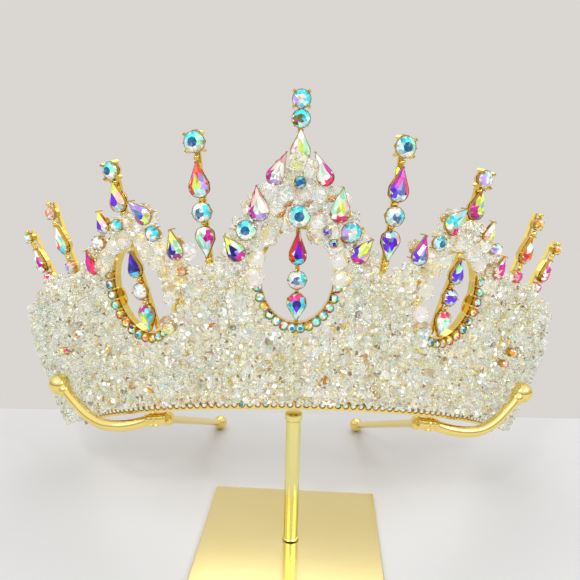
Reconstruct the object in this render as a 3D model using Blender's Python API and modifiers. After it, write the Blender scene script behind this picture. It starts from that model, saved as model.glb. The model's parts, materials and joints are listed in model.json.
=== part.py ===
"""Crystal tiara resting on a small post stand. Metres, +Z up, origin under the post on the table."""
from math import cos, pi, radians, sin

import bmesh
import bpy
import numpy as np
from mathutils import Matrix, Vector

MM = 0.001

# Fits
CLEAR = 0.3 * MM            # gap between pieces that touch

# Wall of the tiara: a flared cone that stands on a round rim
RIM_RADIUS = 83.0 * MM
FLARE = radians(27.2)       # lean of the wall away from the rim's axis
TIARA_HEIGHT = 85.3 * MM    # rim plane to the middle of the top stone
HALF_SWEEP = 80.0           # degrees from the front to each end
LEAN_BACK = radians(30.0)   # rim plane against the table

# Gold frame
RIM_TALL = 2.6 * MM
RIM_BACK = 1.3 * MM
RIM_FRONT = 1.7 * MM
RIB_WIDTH = 1.7 * MM
RIB_BACK = 1.1 * MM
LATTICE_BACK = 1.5 * MM
LATTICE_FRONT = -0.3 * MM
LATTICE_WIDTH = 1.2 * MM
HOOP_BAR = 0.7 * MM         # half the thickness of a bar that carries a string of stones

# Oval windows: half width, half height of the clear opening, and their gold setting
OVAL_HALF_WIDTH = 11.2 * MM
OVAL_HALF_HEIGHT = 14.8 * MM
OVAL_SIDE_SHARE = 0.95      # width of a side window against the middle one
OVAL_LEAN = radians(6.0)
SETTING_WIDTH = 1.2 * MM
SETTING_BACK = 1.2 * MM
SETTING_FRONT = 1.8 * MM

# Crystal field
FIELD_THICK = 5.8 * MM
FIELD_LUMP = 0.12           # share of the thickness that single crystals stand proud or low
CREST = 6.9 * MM            # front of the large crystals, from the wall
LARGE_CRYSTAL = 2.9 * MM    # radius
END_THIN = 0.72             # thickness of the field at its foot and its top edge
SEAT_ROOT = 0.35            # depth at which a raised seat starts, as a share of the field
SEAT_SHARE = 0.74           # raised seat against the stone it carries

# Cut stones
STONE_WIDTH = 5.8 * MM
STONE_LENGTH = 10.0 * MM
STONE_THICK = 2.6 * MM
BACK_SHARE, TABLE_SHARE = 0.78, 0.62    # flat back and table against the girdle
GIRDLE_SHARE = 0.4          # height of the girdle in the stone
SMALL_STONE_SHARE = 0.8     # thickness of a stone that is one with the frame, and of the claws' reach
CUP_THICK = 1.2 * MM
CUP_RIM = 0.3 * MM          # cup beyond the stone
CUP_SINK = 0.4 * MM         # depth of a cup in the bar behind it
CLAW = 0.9 * MM
CLAW_ROOT = 0.5 * MM        # how far a claw's root reaches in under the stone

# Arms with ball tips
TUBE_RADIUS = 1.95 * MM
ROD_RADIUS = 1.45 * MM
FRONT_BALL = 4.0 * MM
BACK_BALL = 3.15 * MM
BACK_BALL_SIDE = 31.8 * MM
BACK_BALL_BACK = 86.0 * MM
BARREL_RADIUS = 2.2 * MM
COLLAR_BACK, COLLAR_FRONT = 0.5 * MM, 1.3 * MM      # reach of the collar either side of the barrel's end
COLLAR_SHARE = 1.12         # collar against the barrel
FRONT_NECK_SHARE = 1.25     # necks behind the balls, against their tube and rod
BACK_NECK_SHARE = 1.3
NECK_REACH = 0.35           # how far a neck stands out of its ball, as a share of the ball's radius

# Stand
PLATE_SIDE = 60.0 * MM
PLATE_THICK = 1.5 * MM
PLATE_EDGE = 0.4 * MM
PLATE_TURN = radians(-3.7)
POST_RADIUS = 2.4 * MM
CAP_RADIUS = 2.8 * MM
CAP_TALL = 2.3 * MM
POST_HEIGHT = 45.4 * MM
POST_FRONT = 1.6 * MM       # post axis in front of the rim's front edge
FOOT_RADIUS = 2.75 * MM
FOOT_TALL = 0.8 * MM
POST_EDGE = 0.3 * MM

GOLD = ((0.83, 0.62, 0.18), 0.16, 1.0)
PALE_GOLD = ((0.80, 0.68, 0.38), 0.12, 1.0)
CLEAR_CRYSTAL = ((0.90, 0.88, 0.83), 0.05, 0.0)
COLOURS = {
    "aqua": (0.45, 0.80, 0.85), "mint": (0.70, 0.90, 0.72), "rose": (0.85, 0.35, 0.50),
    "violet": (0.35, 0.25, 0.80), "clear": (0.75, 0.80, 0.82), "fire": (0.90, 0.35, 0.25),
}

# Stones of their own: name, cut, degrees from the front, height as a share of the tiara's,
# width and length as shares of the stone sizes, turn of the tip in degrees outward, seat, colour.
# A seat is the frame or the crest of the large crystals.
MIDDLE_STONES = (
    ("top", "round", 0.0, 1.000, 0.90, 0, 0, "frame", "aqua"),
    ("second", "round", 0.0, 0.941, 0.90, 0, 0, "frame", "aqua"),
    ("crown_pear", "pear", 0.0, 0.860, 1.02, 0.96, 0, "frame", "mint"),
    ("blue", "round", 0.0, 0.748, 0.56, 0, 0, "crest", "aqua"),
    ("middle", "round", 0.0, 0.645, 1.05, 0, 0, "crest", "aqua"),
    ("string_pear", "pear", 0.0, 0.542, 0.92, 1.04, 0, "frame", "rose"),
    ("string_round", "round", 0.0, 0.438, 0.95, 0, 0, "frame", "aqua"),
    ("string_drop", "pear", 0.0, 0.350, 1.05, 0.84, 180, "frame", "violet"),
)
PAIRED_STONES = (
    ("crest_pear", "pear", 2.9, 0.790, 0.88, 1.00, -26, "crest", "rose"),
    ("arch_pear", "pear", 5.8, 0.684, 1.06, 1.02, 4, "crest", "rose"),
    ("arch_round", "round", 7.7, 0.603, 0.98, 0, 0, "crest", "aqua"),
    ("outer_pear", "pear", 9.8, 0.549, 0.96, 0.86, 34, "crest", "violet"),
    ("tall_top", "round", 15.0, 0.885, 1.06, 0, 0, "frame", "aqua"),
    ("tall_pear", "pear", 15.1, 0.766, 1.10, 1.05, 0, "frame", "rose"),
    ("tall_round", "round", 15.1, 0.664, 1.00, 0, 0, "frame", "aqua"),
    ("tall_drop", "pear", 15.1, 0.569, 1.04, 0.94, 180, "frame", "violet"),
    ("edge_pear", "pear", 19.2, 0.572, 0.92, 0.92, 5, "crest", "violet"),
    ("peak_top", "round", 29.5, 0.845, 0.94, 0, 0, "frame", "aqua"),
    ("peak_pear", "pear", 29.6, 0.757, 1.04, 0.97, 0, "frame", "violet"),
    ("peak_side", "pear", 24.0, 0.692, 0.95, 0.92, 40, "crest", "mint"),
    ("side_pear", "pear", 29.4, 0.524, 0.85, 0.84, 0, "frame", "violet"),
    ("side_round", "round", 29.3, 0.431, 0.88, 0, 0, "frame", "clear"),
    ("side_drop", "pear", 29.1, 0.338, 1.00, 0.84, 180, "frame", "mint"),
    ("tine_pear", "pear", 45.8, 0.682, 0.88, 1.00, 0, "frame", "fire"),
    ("end_pear", "pear", 56.9, 0.662, 0.90, 0.90, 0, "frame", "rose"),
)
# Lesser stones that are one body with the frame, and the claws on the tips of the tines.
FUSED_STONES = (
    ("round", 46.2, 0.785, 0.72), ("round", 45.6, 0.575, 0.80),
    ("round", 58.4, 0.768, 0.62), ("round", 55.8, 0.587, 0.64),
)
CLAWED = ("top", "tall_top", "peak_top")

# Ribs on both sides: degrees and height share at the foot, then at the head.
RIBS = (
    (15.1, 0.02, 15.1, 0.925), (21.4, 0.02, 21.4, 0.53), (37.2, 0.02, 37.2, 0.56),
    (46.0, 0.02, 46.0, 0.54), (54.5, 0.02, 54.5, 0.53), (63.0, 0.02, 63.0, 0.48),
    (71.5, 0.02, 71.5, 0.41), (79.3, 0.02, 79.3, 0.28),
)
# Outer tines, which branch off the heads of two ribs.
TINES = ((45.9, 0.51, 46.4, 0.825), (54.7, 0.50, 59.0, 0.80))
TINE_WIDTH = 1.4 * MM
TINE_BACK = 1.35 * MM
TINE_FRONT = -0.2 * MM
SPINE_HEAD = 1.03           # heads of the bars above the windows, as height shares
PEAK_HEAD = 0.88
LOW_WIRE, HIGH_WIRE = 0.165, 0.40   # lattice wires along the wall, as height shares
WIRE_END = 71.8             # degrees

# Upper edge of the crystal field: degrees from the front, share of the tiara's height.
TOP_EDGE = (
    (0.0, 0.80), (2.6, 0.79), (5.2, 0.755), (7.6, 0.70), (9.8, 0.625), (11.8, 0.555), (13.4, 0.49),
    (15.4, 0.48), (17.2, 0.49), (19.0, 0.545), (21.6, 0.60), (24.0, 0.685), (26.8, 0.70), (29.6, 0.695),
    (32.6, 0.67), (35.6, 0.625), (39.0, 0.575), (42.6, 0.55), (46.2, 0.535), (50.0, 0.565),
    (54.0, 0.555), (58.0, 0.54), (62.0, 0.515), (66.0, 0.48), (70.0, 0.44), (74.0, 0.39), (77.2, 0.34),
    (80.0, 0.28),
)
FIELD_FOOT = 0.038          # lower edge of the crystals, as a share of the tiara's height
FIELD_ROWS = 8
DOME_FOOT = 0.6             # the field stands as thick as the crest above this height share at the front

# Path of an arm's front tube: degrees from the front, height and stand-off as shares of TIARA_HEIGHT.
TUBE_PATH = (
    (38.5, -0.036, 0.006), (41.5, -0.036, 0.036), (44.5, -0.026, 0.070), (48.0, -0.003, 0.098),
    (51.5, 0.042, 0.113), (54.6, 0.100, 0.119), (57.0, 0.152, 0.123),
)
FRONT_BALL_AT = (58.7, 0.184, 0.126)
BARREL_FROM, BARREL_TO = 31.0, 38.6

for old in list(bpy.data.objects):
    bpy.data.objects.remove(old, do_unlink=True)


def new_collection(name):
    made = bpy.data.collections.new(name)
    bpy.context.scene.collection.children.link(made)
    return made


PART = new_collection("crystal_tiara")
CUTTERS = new_collection("cutters")


def material(name, look):
    made = bpy.data.materials.get(name)
    if made:
        return made
    colour, roughness, metallic = look
    made = bpy.data.materials.new(name)
    made.use_nodes = True
    shader = made.node_tree.nodes["Principled BSDF"]
    shader.inputs["Base Color"].default_value = (*colour, 1.0)
    shader.inputs["Roughness"].default_value = roughness
    shader.inputs["Metallic"].default_value = metallic
    made.diffuse_color = (*colour, 1.0)
    return made


def mesh_object(name, bm, collection=PART, smooth=False):
    bmesh.ops.recalc_face_normals(bm, faces=bm.faces)
    mesh = bpy.data.meshes.new(name)
    bm.to_mesh(mesh)
    bm.free()
    if smooth:
        mesh.shade_smooth()
        mesh.set_sharp_from_angle(angle=radians(40))
    made = bpy.data.objects.new(name, mesh)
    collection.objects.link(made)
    if collection is CUTTERS:
        made.hide_render = True
        made.display_type = "WIRE"
    return made


def hull(name, points, collection=PART):
    """Closed solid round a set of points."""
    bm = bmesh.new()
    for point in points:
        bm.verts.new(point)
    made = bmesh.ops.convex_hull(bm, input=bm.verts)
    loose = {v for v in made["geom_interior"] + made["geom_unused"] if isinstance(v, bmesh.types.BMVert)}
    bmesh.ops.delete(bm, geom=list(loose), context="VERTS")
    return mesh_object(name, bm, collection)


def loft(name, rings, collection=PART, closed=False, smooth=False):
    """Closed solid through rings of as many points each; a closed loft joins its last ring to its first.

    A ring runs up one side and down the other, so an end is capped by quads from side to side.
    """
    bm = bmesh.new()
    rows = [[bm.verts.new(point) for point in ring] for ring in rings]
    pairs = list(zip(rows, rows[1:] + ([rows[0]] if closed else [])))
    for near, far in pairs:
        for i in range(len(near)):
            j = (i + 1) % len(near)
            bm.faces.new((near[i], near[j], far[j], far[i]))
    for row in () if closed else (rows[0], rows[-1]):
        for i in range(len(row) // 2 - 1):
            bm.faces.new((row[i], row[i + 1], row[-i - 2], row[-i - 1]))
    bmesh.ops.triangulate(bm, faces=bm.faces)
    return mesh_object(name, bm, collection, smooth)


def wall(degrees, height, proud=0.0):
    """Point on the flared wall, in the tiara's own frame: rim front at the origin, +Y to the back."""
    turn = radians(degrees)
    radial = RIM_RADIUS + height * np.tan(FLARE) + proud * cos(FLARE)
    return Vector((radial * sin(turn), RIM_RADIUS - radial * cos(turn), height - proud * sin(FLARE)))


def wall_frame(degrees, height, proud=0.0, tip=0.0):
    """Local axes at a wall point: x along the rim, y up the wall, z out, turned by tip outward."""
    turn = radians(degrees)
    side = Vector((cos(turn), sin(turn), 0))
    up = Vector((sin(FLARE) * sin(turn), -sin(FLARE) * cos(turn), cos(FLARE)))
    out = side.cross(up)
    basis = Matrix((side, up, out)).transposed().to_4x4()
    return Matrix.Translation(wall(degrees, height, proud)) @ basis @ Matrix.Rotation(-tip, 4, "Z")


def tilt(made):
    """Hangs an object modelled in the tiara's frame on the leaning empty."""
    made.parent = TILT
    return made


TILT = bpy.data.objects.new("tiara_tilt", None)
PART.objects.link(TILT)
TILT.location = (0, 0, PLATE_THICK + POST_HEIGHT + CLEAR + RIM_BACK * sin(LEAN_BACK))
TILT.rotation_euler = (-LEAN_BACK, 0, 0)


def fuse(target, others, operation="UNION"):
    """One Boolean with all the others; their collection holds nothing else."""
    group = bpy.data.collections.new(target.name + "_" + operation.lower())
    CUTTERS.children.link(group)
    for other in others:
        for home in list(other.users_collection):
            home.objects.unlink(other)
        group.objects.link(other)
        other.hide_render = True
        other.display_type = "WIRE"
        other.parent = target.parent
    boolean = target.modifiers.new(operation.title(), "BOOLEAN")
    boolean.operation = operation
    boolean.operand_type = "COLLECTION"
    boolean.collection = group
    boolean.solver = "EXACT"
    return target


def outline(cut, width, length):
    """Points round a stone's girdle, the pear's tip at +Y."""
    if cut == "round":
        count = 8
        return [(width / 2 * cos(2 * pi * i / count), width / 2 * sin(2 * pi * i / count)) for i in range(count)]
    belly = length / 2 - width / 2
    arc = [radians(a) for a in range(-200, 21, 44)]
    points = [(width / 2 * cos(a), width / 2 * sin(a) - belly) for a in arc]
    shoulder = 0.30 * length - belly
    return points + [(width * 0.27, shoulder), (0.0, length / 2), (-width * 0.27, shoulder)]


def layer(points, scale, z):
    return [Vector((x * scale, y * scale, z)) for x, y in points]


def cut_stone(name, cut, width, length):
    """Flat-backed cut stone: pavilion, girdle, crown facets and a table."""
    girdle = outline(cut, width, length)
    mid = [((x0 + x1) / 2, (y0 + y1) / 2) for (x0, y0), (x1, y1) in zip(girdle, girdle[1:] + girdle[:1])]
    points = layer(girdle, BACK_SHARE, 0.0) + layer(girdle, 1.0, GIRDLE_SHARE * STONE_THICK)
    return hull(name, points + layer(mid, TABLE_SHARE, STONE_THICK))


def claws(width, low, high):
    """Corners of four claws round a round stone, clear of its girdle."""
    made = []
    for i in range(4):
        turn = Matrix.Rotation(radians(45 + 90 * i), 3, "Z")
        inner, outer = width / 2 + CLEAR, width / 2 + CLEAR + CLAW
        section = ((inner - CLAW_ROOT, low), (outer, low), (inner - CLAW_ROOT, low + CLAW_ROOT),
                   (inner, high), (outer - 0.4 * CLAW, high))
        made.append([turn @ Vector((reach, side * CLAW / 2, z)) for side in (-1, 1) for reach, z in section])
    return made


def bar(name, foot, head, width, back, front):
    """Straight bar between two wall points, each given as degrees and height."""
    points = []
    for degrees, height in (foot, head):
        frame = wall_frame(degrees, height)
        for x in (-width / 2, width / 2):
            for z in (-back, front):
                points.append(frame @ Vector((x, 0, z)))
    return hull(name, points, CUTTERS)


def band(name, heights, first, last, back, front, collection=CUTTERS, step=5.0):
    """Curved strip along the wall; heights gives its lower and upper edge at an angle in degrees."""
    rings = []
    count = max(2, int(round((last - first) / step)))
    for i in range(count + 1):
        degrees = first + (last - first) * i / count
        low, high = heights(degrees)
        rings.append([wall(degrees, low, -back), wall(degrees, low, front),
                      wall(degrees, high, front), wall(degrees, high, -back)])
    return loft(name, rings, collection)


def ellipse(half_width, half_height, count=24):
    return [(half_width * cos(2 * pi * i / count), half_height * sin(2 * pi * i / count)) for i in range(count)]


OVALS = (
    ("middle", 0.0, 0.449, OVAL_HALF_WIDTH, OVAL_HALF_HEIGHT, 0.0),
    ("left", -28.8, 0.434, OVAL_HALF_WIDTH * OVAL_SIDE_SHARE, OVAL_HALF_HEIGHT, -OVAL_LEAN),
    ("right", 28.8, 0.434, OVAL_HALF_WIDTH * OVAL_SIDE_SHARE, OVAL_HALF_HEIGHT, OVAL_LEAN),
)


def oval_frame(oval):
    return wall_frame(oval[1], oval[2] * TIARA_HEIGHT, 0.0, oval[5])


def window_end(oval, end, depth=0.6):
    """Degrees and height inside a window's setting, at its upper end (1) or its lower one (-1)."""
    reach = oval[4] + SETTING_WIDTH * depth
    height = oval[2] * TIARA_HEIGHT + end * reach * cos(FLARE) * cos(oval[5])
    radial = RIM_RADIUS + height * np.tan(FLARE)
    return oval[1] + end * np.degrees(reach * sin(oval[5]) / radial), height


def window_side(oval, height_share, side):
    """Degrees in the middle of a window's setting, at a height share on one side of it."""
    rise = (height_share - oval[2]) * TIARA_HEIGHT / cos(FLARE)
    reach = (oval[3] + SETTING_WIDTH / 2) * (1 - (rise / (oval[4] + SETTING_WIDTH / 2)) ** 2) ** 0.5
    radial = RIM_RADIUS + height_share * TIARA_HEIGHT * np.tan(FLARE)
    return oval[1] + np.degrees((side * reach + rise * sin(oval[5])) / radial)


def window_setting(oval):
    """Gold wall round a window, open in the middle."""
    frame = oval_frame(oval)
    inner = ellipse(oval[3], oval[4])
    outer = ellipse(oval[3] + SETTING_WIDTH, oval[4] + SETTING_WIDTH)
    rings = [[frame @ Vector((*i, -SETTING_BACK)), frame @ Vector((*o, -SETTING_BACK)),
              frame @ Vector((*o, SETTING_FRONT)), frame @ Vector((*i, SETTING_FRONT))]
             for i, o in zip(inner, outer)]
    return loft(oval[0] + "_window", rings, CUTTERS, closed=True)


def string_bar(oval):
    """Bar down the middle of a window that carries its stones."""
    (low_turn, low), (high_turn, high) = window_end(oval, -1, 0.3), window_end(oval, 1, 0.3)
    return bar(oval[0] + "_string", (low_turn, low), (high_turn, high), 2 * HOOP_BAR, HOOP_BAR, HOOP_BAR)


def stone_rows():
    """Every stone with a node of its own, left, middle and right."""
    rows = list(MIDDLE_STONES)
    for name, cut, degrees, *rest in PAIRED_STONES:
        for side, word in ((-1, "left"), (1, "right")):
            row = [name + "_" + word, cut, side * degrees, *rest]
            row[6] *= side
            rows.append(tuple(row))
    return rows


def stone_size(cut, wide, long_share):
    width = STONE_WIDTH * wide
    return width, (width if cut == "round" else STONE_LENGTH * long_share)


def seat_height(seat):
    """Stand-off of a stone's flat back from the wall."""
    return (CUP_THICK if seat == "frame" else CREST) + CLEAR


def place(made, matrix):
    made.matrix_local = matrix
    return tilt(made)


def build_stones():
    for name, cut, degrees, share, wide, long_share, tip, seat, colour in stone_rows():
        width, length = stone_size(cut, wide, long_share)
        frame = wall_frame(degrees, share * TIARA_HEIGHT, seat_height(seat), radians(tip))
        made = place(cut_stone("stone_" + name, cut, width, length), frame)
        made.data.materials.append(material("stone_" + colour, (COLOURS[colour], 0.05, 0.0)))


def moved_hull(name, points, frame):
    return hull(name, [frame @ Vector(p) for p in points], CUTTERS)


def frame_cups():
    """Cups, claws and fused stones that the frame carries."""
    made = []
    for name, cut, degrees, share, wide, long_share, tip, seat, _ in stone_rows():
        if seat != "frame":
            continue
        width, length = stone_size(cut, wide, long_share)
        frame = wall_frame(degrees, share * TIARA_HEIGHT, 0.0, radians(tip))
        low, high = -CUP_SINK, CUP_THICK
        points = outline(cut, width + 2 * CUP_RIM, length + 2 * CUP_RIM)
        made.append(moved_hull("cup_" + name, layer(points, BACK_SHARE, low) + layer(points, 1.0, high), frame))
        if name.replace("_left", "").replace("_right", "") in CLAWED:
            for claw in claws(width, CUP_THICK / 2, CUP_THICK + CLEAR + SMALL_STONE_SHARE * STONE_THICK):
                made.append(moved_hull("claw_" + name, claw, frame))
    for i, (cut, degrees, share, wide) in enumerate(FUSED_STONES):
        for side in (-1, 1):
            frame = wall_frame(side * degrees, share * TIARA_HEIGHT)
            points = outline(cut, STONE_WIDTH * wide, STONE_LENGTH)
            solid = layer(points, BACK_SHARE, -CUP_SINK) + layer(points, 1.0, CUP_THICK)
            solid += layer(points, TABLE_SHARE, CUP_THICK + SMALL_STONE_SHARE * STONE_THICK)
            made.append(moved_hull("fused_%d_%s" % (i, "left" if side < 0 else "right"), solid, frame))
    return made


def rib(name, foot, head):
    """Bar of the frame, its front on the wall so that the crystals clear it."""
    return bar(name, foot, head, RIB_WIDTH, RIB_BACK, 0.0)


def frame_bars():
    foot = RIM_TALL / 2
    made = []
    for oval in OVALS:
        low_turn, low = window_end(oval, -1)
        high_turn, high = window_end(oval, 1)
        head = (SPINE_HEAD if oval[1] == 0 else PEAK_HEAD) * TIARA_HEIGHT
        made.append(rib(oval[0] + "_foot", (low_turn, foot), (low_turn, low)))
        made.append(rib(oval[0] + "_crest", (high_turn, high), (high_turn, head)))
    for side in (-1, 1):
        for a0, s0, a1, s1 in RIBS:
            made.append(rib("rib", (side * a0, s0 * TIARA_HEIGHT), (side * a1, s1 * TIARA_HEIGHT)))
        for a0, s0, a1, s1 in TINES:
            made.append(bar("tine", (side * a0, s0 * TIARA_HEIGHT), (side * a1, s1 * TIARA_HEIGHT),
                            TINE_WIDTH, TINE_BACK, TINE_FRONT))
    return made


def lattice_wires():
    """Wires along the back of the wall that tie the ribs and the windows."""
    low, high = LOW_WIRE * TIARA_HEIGHT, HIGH_WIRE * TIARA_HEIGHT
    made = [band("low_wire", lambda degrees: (low, low + LATTICE_WIDTH), -HALF_SWEEP + 1, HALF_SWEEP - 1,
                 LATTICE_BACK, LATTICE_FRONT, step=6.0)]
    inner, outer = window_side(OVALS[2], HIGH_WIRE, -1), window_side(OVALS[2], HIGH_WIRE, 1)
    for start, end in ((window_side(OVALS[0], HIGH_WIRE, 1), inner), (outer, WIRE_END)):
        for side in (-1, 1):
            first, last = sorted((side * start, side * end))
            made.append(band("high_wire", lambda degrees: (high, high + LATTICE_WIDTH), first, last,
                             LATTICE_BACK, LATTICE_FRONT, step=6.0))
    return made


def build_frame():
    rim = band("tiara_frame", lambda degrees: (0.0, RIM_TALL), -HALF_SWEEP, HALF_SWEEP, RIM_BACK, RIM_FRONT, PART)
    pieces = [window_setting(oval) for oval in OVALS] + [string_bar(oval) for oval in OVALS]
    tilt(rim)
    fuse(rim, pieces + frame_bars() + lattice_wires() + frame_cups())
    rim.data.materials.append(material("gold", GOLD))


def field_column(degrees, index):
    """Closed section of the crystal field at one angle: front from foot to top, then back down."""
    foot = FIELD_FOOT * TIARA_HEIGHT
    top = np.interp(abs(degrees), *zip(*TOP_EDGE)) * TIARA_HEIGHT
    front, back = [], []
    for row in range(FIELD_ROWS + 1):
        height = foot + (top - foot) * row / FIELD_ROWS
        thick = FIELD_THICK * (1 + FIELD_LUMP * (-1) ** (row + index))
        if index == 0 and height > DOME_FOOT * TIARA_HEIGHT:
            thick = CREST
        if row in (0, FIELD_ROWS):
            thick *= END_THIN
        front.append(wall(degrees, height, thick))
        back.append(wall(degrees, height, CLEAR))
    return front + back[::-1]


def crystal_points(centre, radius, spin):
    """Faceted bead: two rings of six between two tips."""
    points = [centre - Vector((0, 0, radius)), centre + Vector((0, 0, radius))]
    for z, share in ((-0.38, 0.95), (0.38, 0.95)):
        for i in range(6):
            turn = 2 * pi * i / 6 + spin
            points.append(centre + Vector((share * cos(turn), share * sin(turn), z)) * radius)
    return points


def large_crystals(oval, side, first, last, count, away):
    """Ring of large crystals on the crystal field, round part of a window."""
    frame = oval_frame(oval)
    made = []
    for i in range(count):
        turn = radians(first + (last - first) * i / (count - 1))
        reach_x = oval[3] + SETTING_WIDTH + away
        reach_y = oval[4] + SETTING_WIDTH + away
        centre = Vector((reach_x * cos(turn), reach_y * sin(turn), CREST - LARGE_CRYSTAL))
        if oval[1] == 0:
            centre.x = side * abs(centre.x)
            if abs(centre.x) < LARGE_CRYSTAL * 1.25:
                continue
        points = crystal_points(centre, LARGE_CRYSTAL, turn)
        made.append(moved_hull("crystal_%s_%d_%d" % (oval[0], side, len(CUTTERS.all_objects)), points, frame))
    return made


def crest_seats(side):
    """Raised seats on the crystal field, one under each stone that the crest carries."""
    made = []
    for name, cut, degrees, share, wide, long_share, tip, seat, _ in stone_rows():
        if seat != "crest" or degrees * side <= 0:
            continue
        width, length = stone_size(cut, wide, long_share)
        frame = wall_frame(degrees, share * TIARA_HEIGHT, 0.0, radians(tip))
        points = outline(cut, width, length)
        solid = layer(points, TABLE_SHARE, SEAT_ROOT * FIELD_THICK) + layer(points, SEAT_SHARE, CREST)
        made.append(moved_hull("seat_" + name, solid, frame))
    return made


def build_field(side, word):
    seam = np.degrees(CLEAR / 2 / RIM_RADIUS)
    rings = []
    for index, (degrees, _) in enumerate(TOP_EDGE):
        rings.append(field_column(side * max(degrees, seam), index))
    field = tilt(loft("crystal_field_" + word, rings))
    ring_gap = LARGE_CRYSTAL + CLEAR
    own = next(oval for oval in OVALS if oval[1] * side > 0)
    crystals = large_crystals(OVALS[0], side, 5, 78, 5, ring_gap)
    crystals += large_crystals(own, side, 0, 315, 10, ring_gap)
    fuse(field, crystals + crest_seats(side))
    grow = SETTING_WIDTH + CLEAR
    holes = []
    for oval in (OVALS[0], own):
        frame = oval_frame(oval)
        points = ellipse(oval[3] + grow, oval[4] + grow)
        deep = SETTING_FRONT + CREST
        through = layer(points, 1, -deep) + layer(points, 1, deep)
        holes.append(moved_hull("%s_hole_%s" % (oval[0], word), through, frame))
    fuse(field, holes, "DIFFERENCE")
    field.data.materials.append(material("crystal", CLEAR_CRYSTAL))


def tilted_inverse(x, y, z):
    """A place in the room, in the tiara's frame."""
    world = Matrix.LocRotScale(TILT.location, TILT.rotation_euler, None)
    return world.inverted() @ Vector((x, y, z))


def wire(name, points, radius):
    """Round wire through points, as a closed mesh."""
    curve = bpy.data.curves.new(name, "CURVE")
    curve.dimensions = "3D"
    curve.bevel_depth = radius
    curve.bevel_resolution = 2
    curve.use_fill_caps = True
    spline = curve.splines.new("POLY")
    spline.points.add(len(points) - 1)
    for target, point in zip(spline.points, points):
        target.co = (*point, 1.0)
    source = bpy.data.objects.new(name, curve)
    PART.objects.link(source)
    bpy.context.view_layer.update()
    graph = bpy.context.evaluated_depsgraph_get()
    mesh = bpy.data.meshes.new_from_object(source.evaluated_get(graph))
    bpy.data.objects.remove(source)
    bm = bmesh.new()
    bm.from_mesh(mesh)
    bpy.data.meshes.remove(mesh)
    bmesh.ops.remove_doubles(bm, verts=bm.verts, dist=1e-6)
    return mesh_object(name, bm, CUTTERS, smooth=True)


def ball(name, centre, radius):
    bm = bmesh.new()
    bmesh.ops.create_uvsphere(bm, u_segments=12, v_segments=8, radius=radius,
                              matrix=Matrix.Translation(centre))
    return mesh_object(name, bm, CUTTERS, smooth=True)


def build_arm(side, word):
    """Ball-tipped tube in front, barrel under the rim, and ball-tipped rod to the table behind."""
    low = -(BARREL_RADIUS + CLEAR) / cos(FLARE)
    start, end = wall(side * BARREL_FROM, low), wall(side * BARREL_TO, low)
    along = (end - start).normalized()
    barrel = wire("arm_" + word, [start, end], BARREL_RADIUS)
    for home in list(barrel.users_collection):
        home.objects.unlink(barrel)
    PART.objects.link(barrel)
    barrel.hide_render = False
    barrel.display_type = "TEXTURED"
    tilt(barrel)
    path = [end - along * BARREL_RADIUS]
    path += [wall(side * a, h * TIARA_HEIGHT, p * TIARA_HEIGHT) for a, h, p in TUBE_PATH]
    tip = wall(side * FRONT_BALL_AT[0], FRONT_BALL_AT[1] * TIARA_HEIGHT, FRONT_BALL_AT[2] * TIARA_HEIGHT)
    path.append(tip)
    back_ball = tilted_inverse(side * BACK_BALL_SIDE, BACK_BALL_BACK, BACK_BALL)
    neck = tip + (path[-2] - tip).normalized() * FRONT_BALL
    back_neck = back_ball + (start - back_ball).normalized() * BACK_BALL
    pieces = [
        wire("tube_" + word, smooth_path(path), TUBE_RADIUS),
        wire("rod_" + word, [start + along * BARREL_RADIUS, back_ball], ROD_RADIUS),
        wire("collar_" + word, [start - along * COLLAR_BACK, start + along * COLLAR_FRONT],
             BARREL_RADIUS * COLLAR_SHARE),
        wire("front_neck_" + word, [tip, neck + (neck - tip) * NECK_REACH], TUBE_RADIUS * FRONT_NECK_SHARE),
        wire("back_neck_" + word, [back_ball, back_neck + (back_neck - back_ball) * NECK_REACH],
             ROD_RADIUS * BACK_NECK_SHARE),
        ball("front_ball_" + word, tip, FRONT_BALL), ball("back_ball_" + word, back_ball, BACK_BALL),
    ]
    fuse(barrel, pieces)
    barrel.data.materials.append(material("gold", GOLD))


def smooth_path(points, steps=2):
    """Points of a Catmull-Rom curve through the given ones."""
    padded = [points[0]] + list(points) + [points[-1]]
    made = []
    for p0, p1, p2, p3 in zip(padded, padded[1:], padded[2:], padded[3:]):
        for i in range(steps):
            t = i / steps
            made.append(0.5 * ((2 * p1) + (p2 - p0) * t + (2 * p0 - 5 * p1 + 4 * p2 - p3) * t * t
                               + (3 * p1 - p0 - 3 * p2 + p3) * t ** 3))
    return made + [points[-1]]


def turned(name, profile, look, sides=16):
    """Solid turned round Z from a profile of radius and height, its outer side from top to bottom."""
    bm = bmesh.new()
    for radius, z in profile:
        bm.verts.new((radius, 0, z))
    bm.verts.ensure_lookup_table()
    for a, b in zip(bm.verts, bm.verts[1:]):
        bm.edges.new((a, b))
    mesh = bpy.data.meshes.new(name)
    bm.to_mesh(mesh)
    bm.free()
    made = bpy.data.objects.new(name, mesh)
    PART.objects.link(made)
    screw = made.modifiers.new("Screw", "SCREW")
    screw.steps = screw.render_steps = sides
    screw.use_merge_vertices = True
    screw.merge_threshold = 0.00001
    screw.use_smooth_shade = True
    mesh.materials.append(material(*look))
    return made


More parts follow.
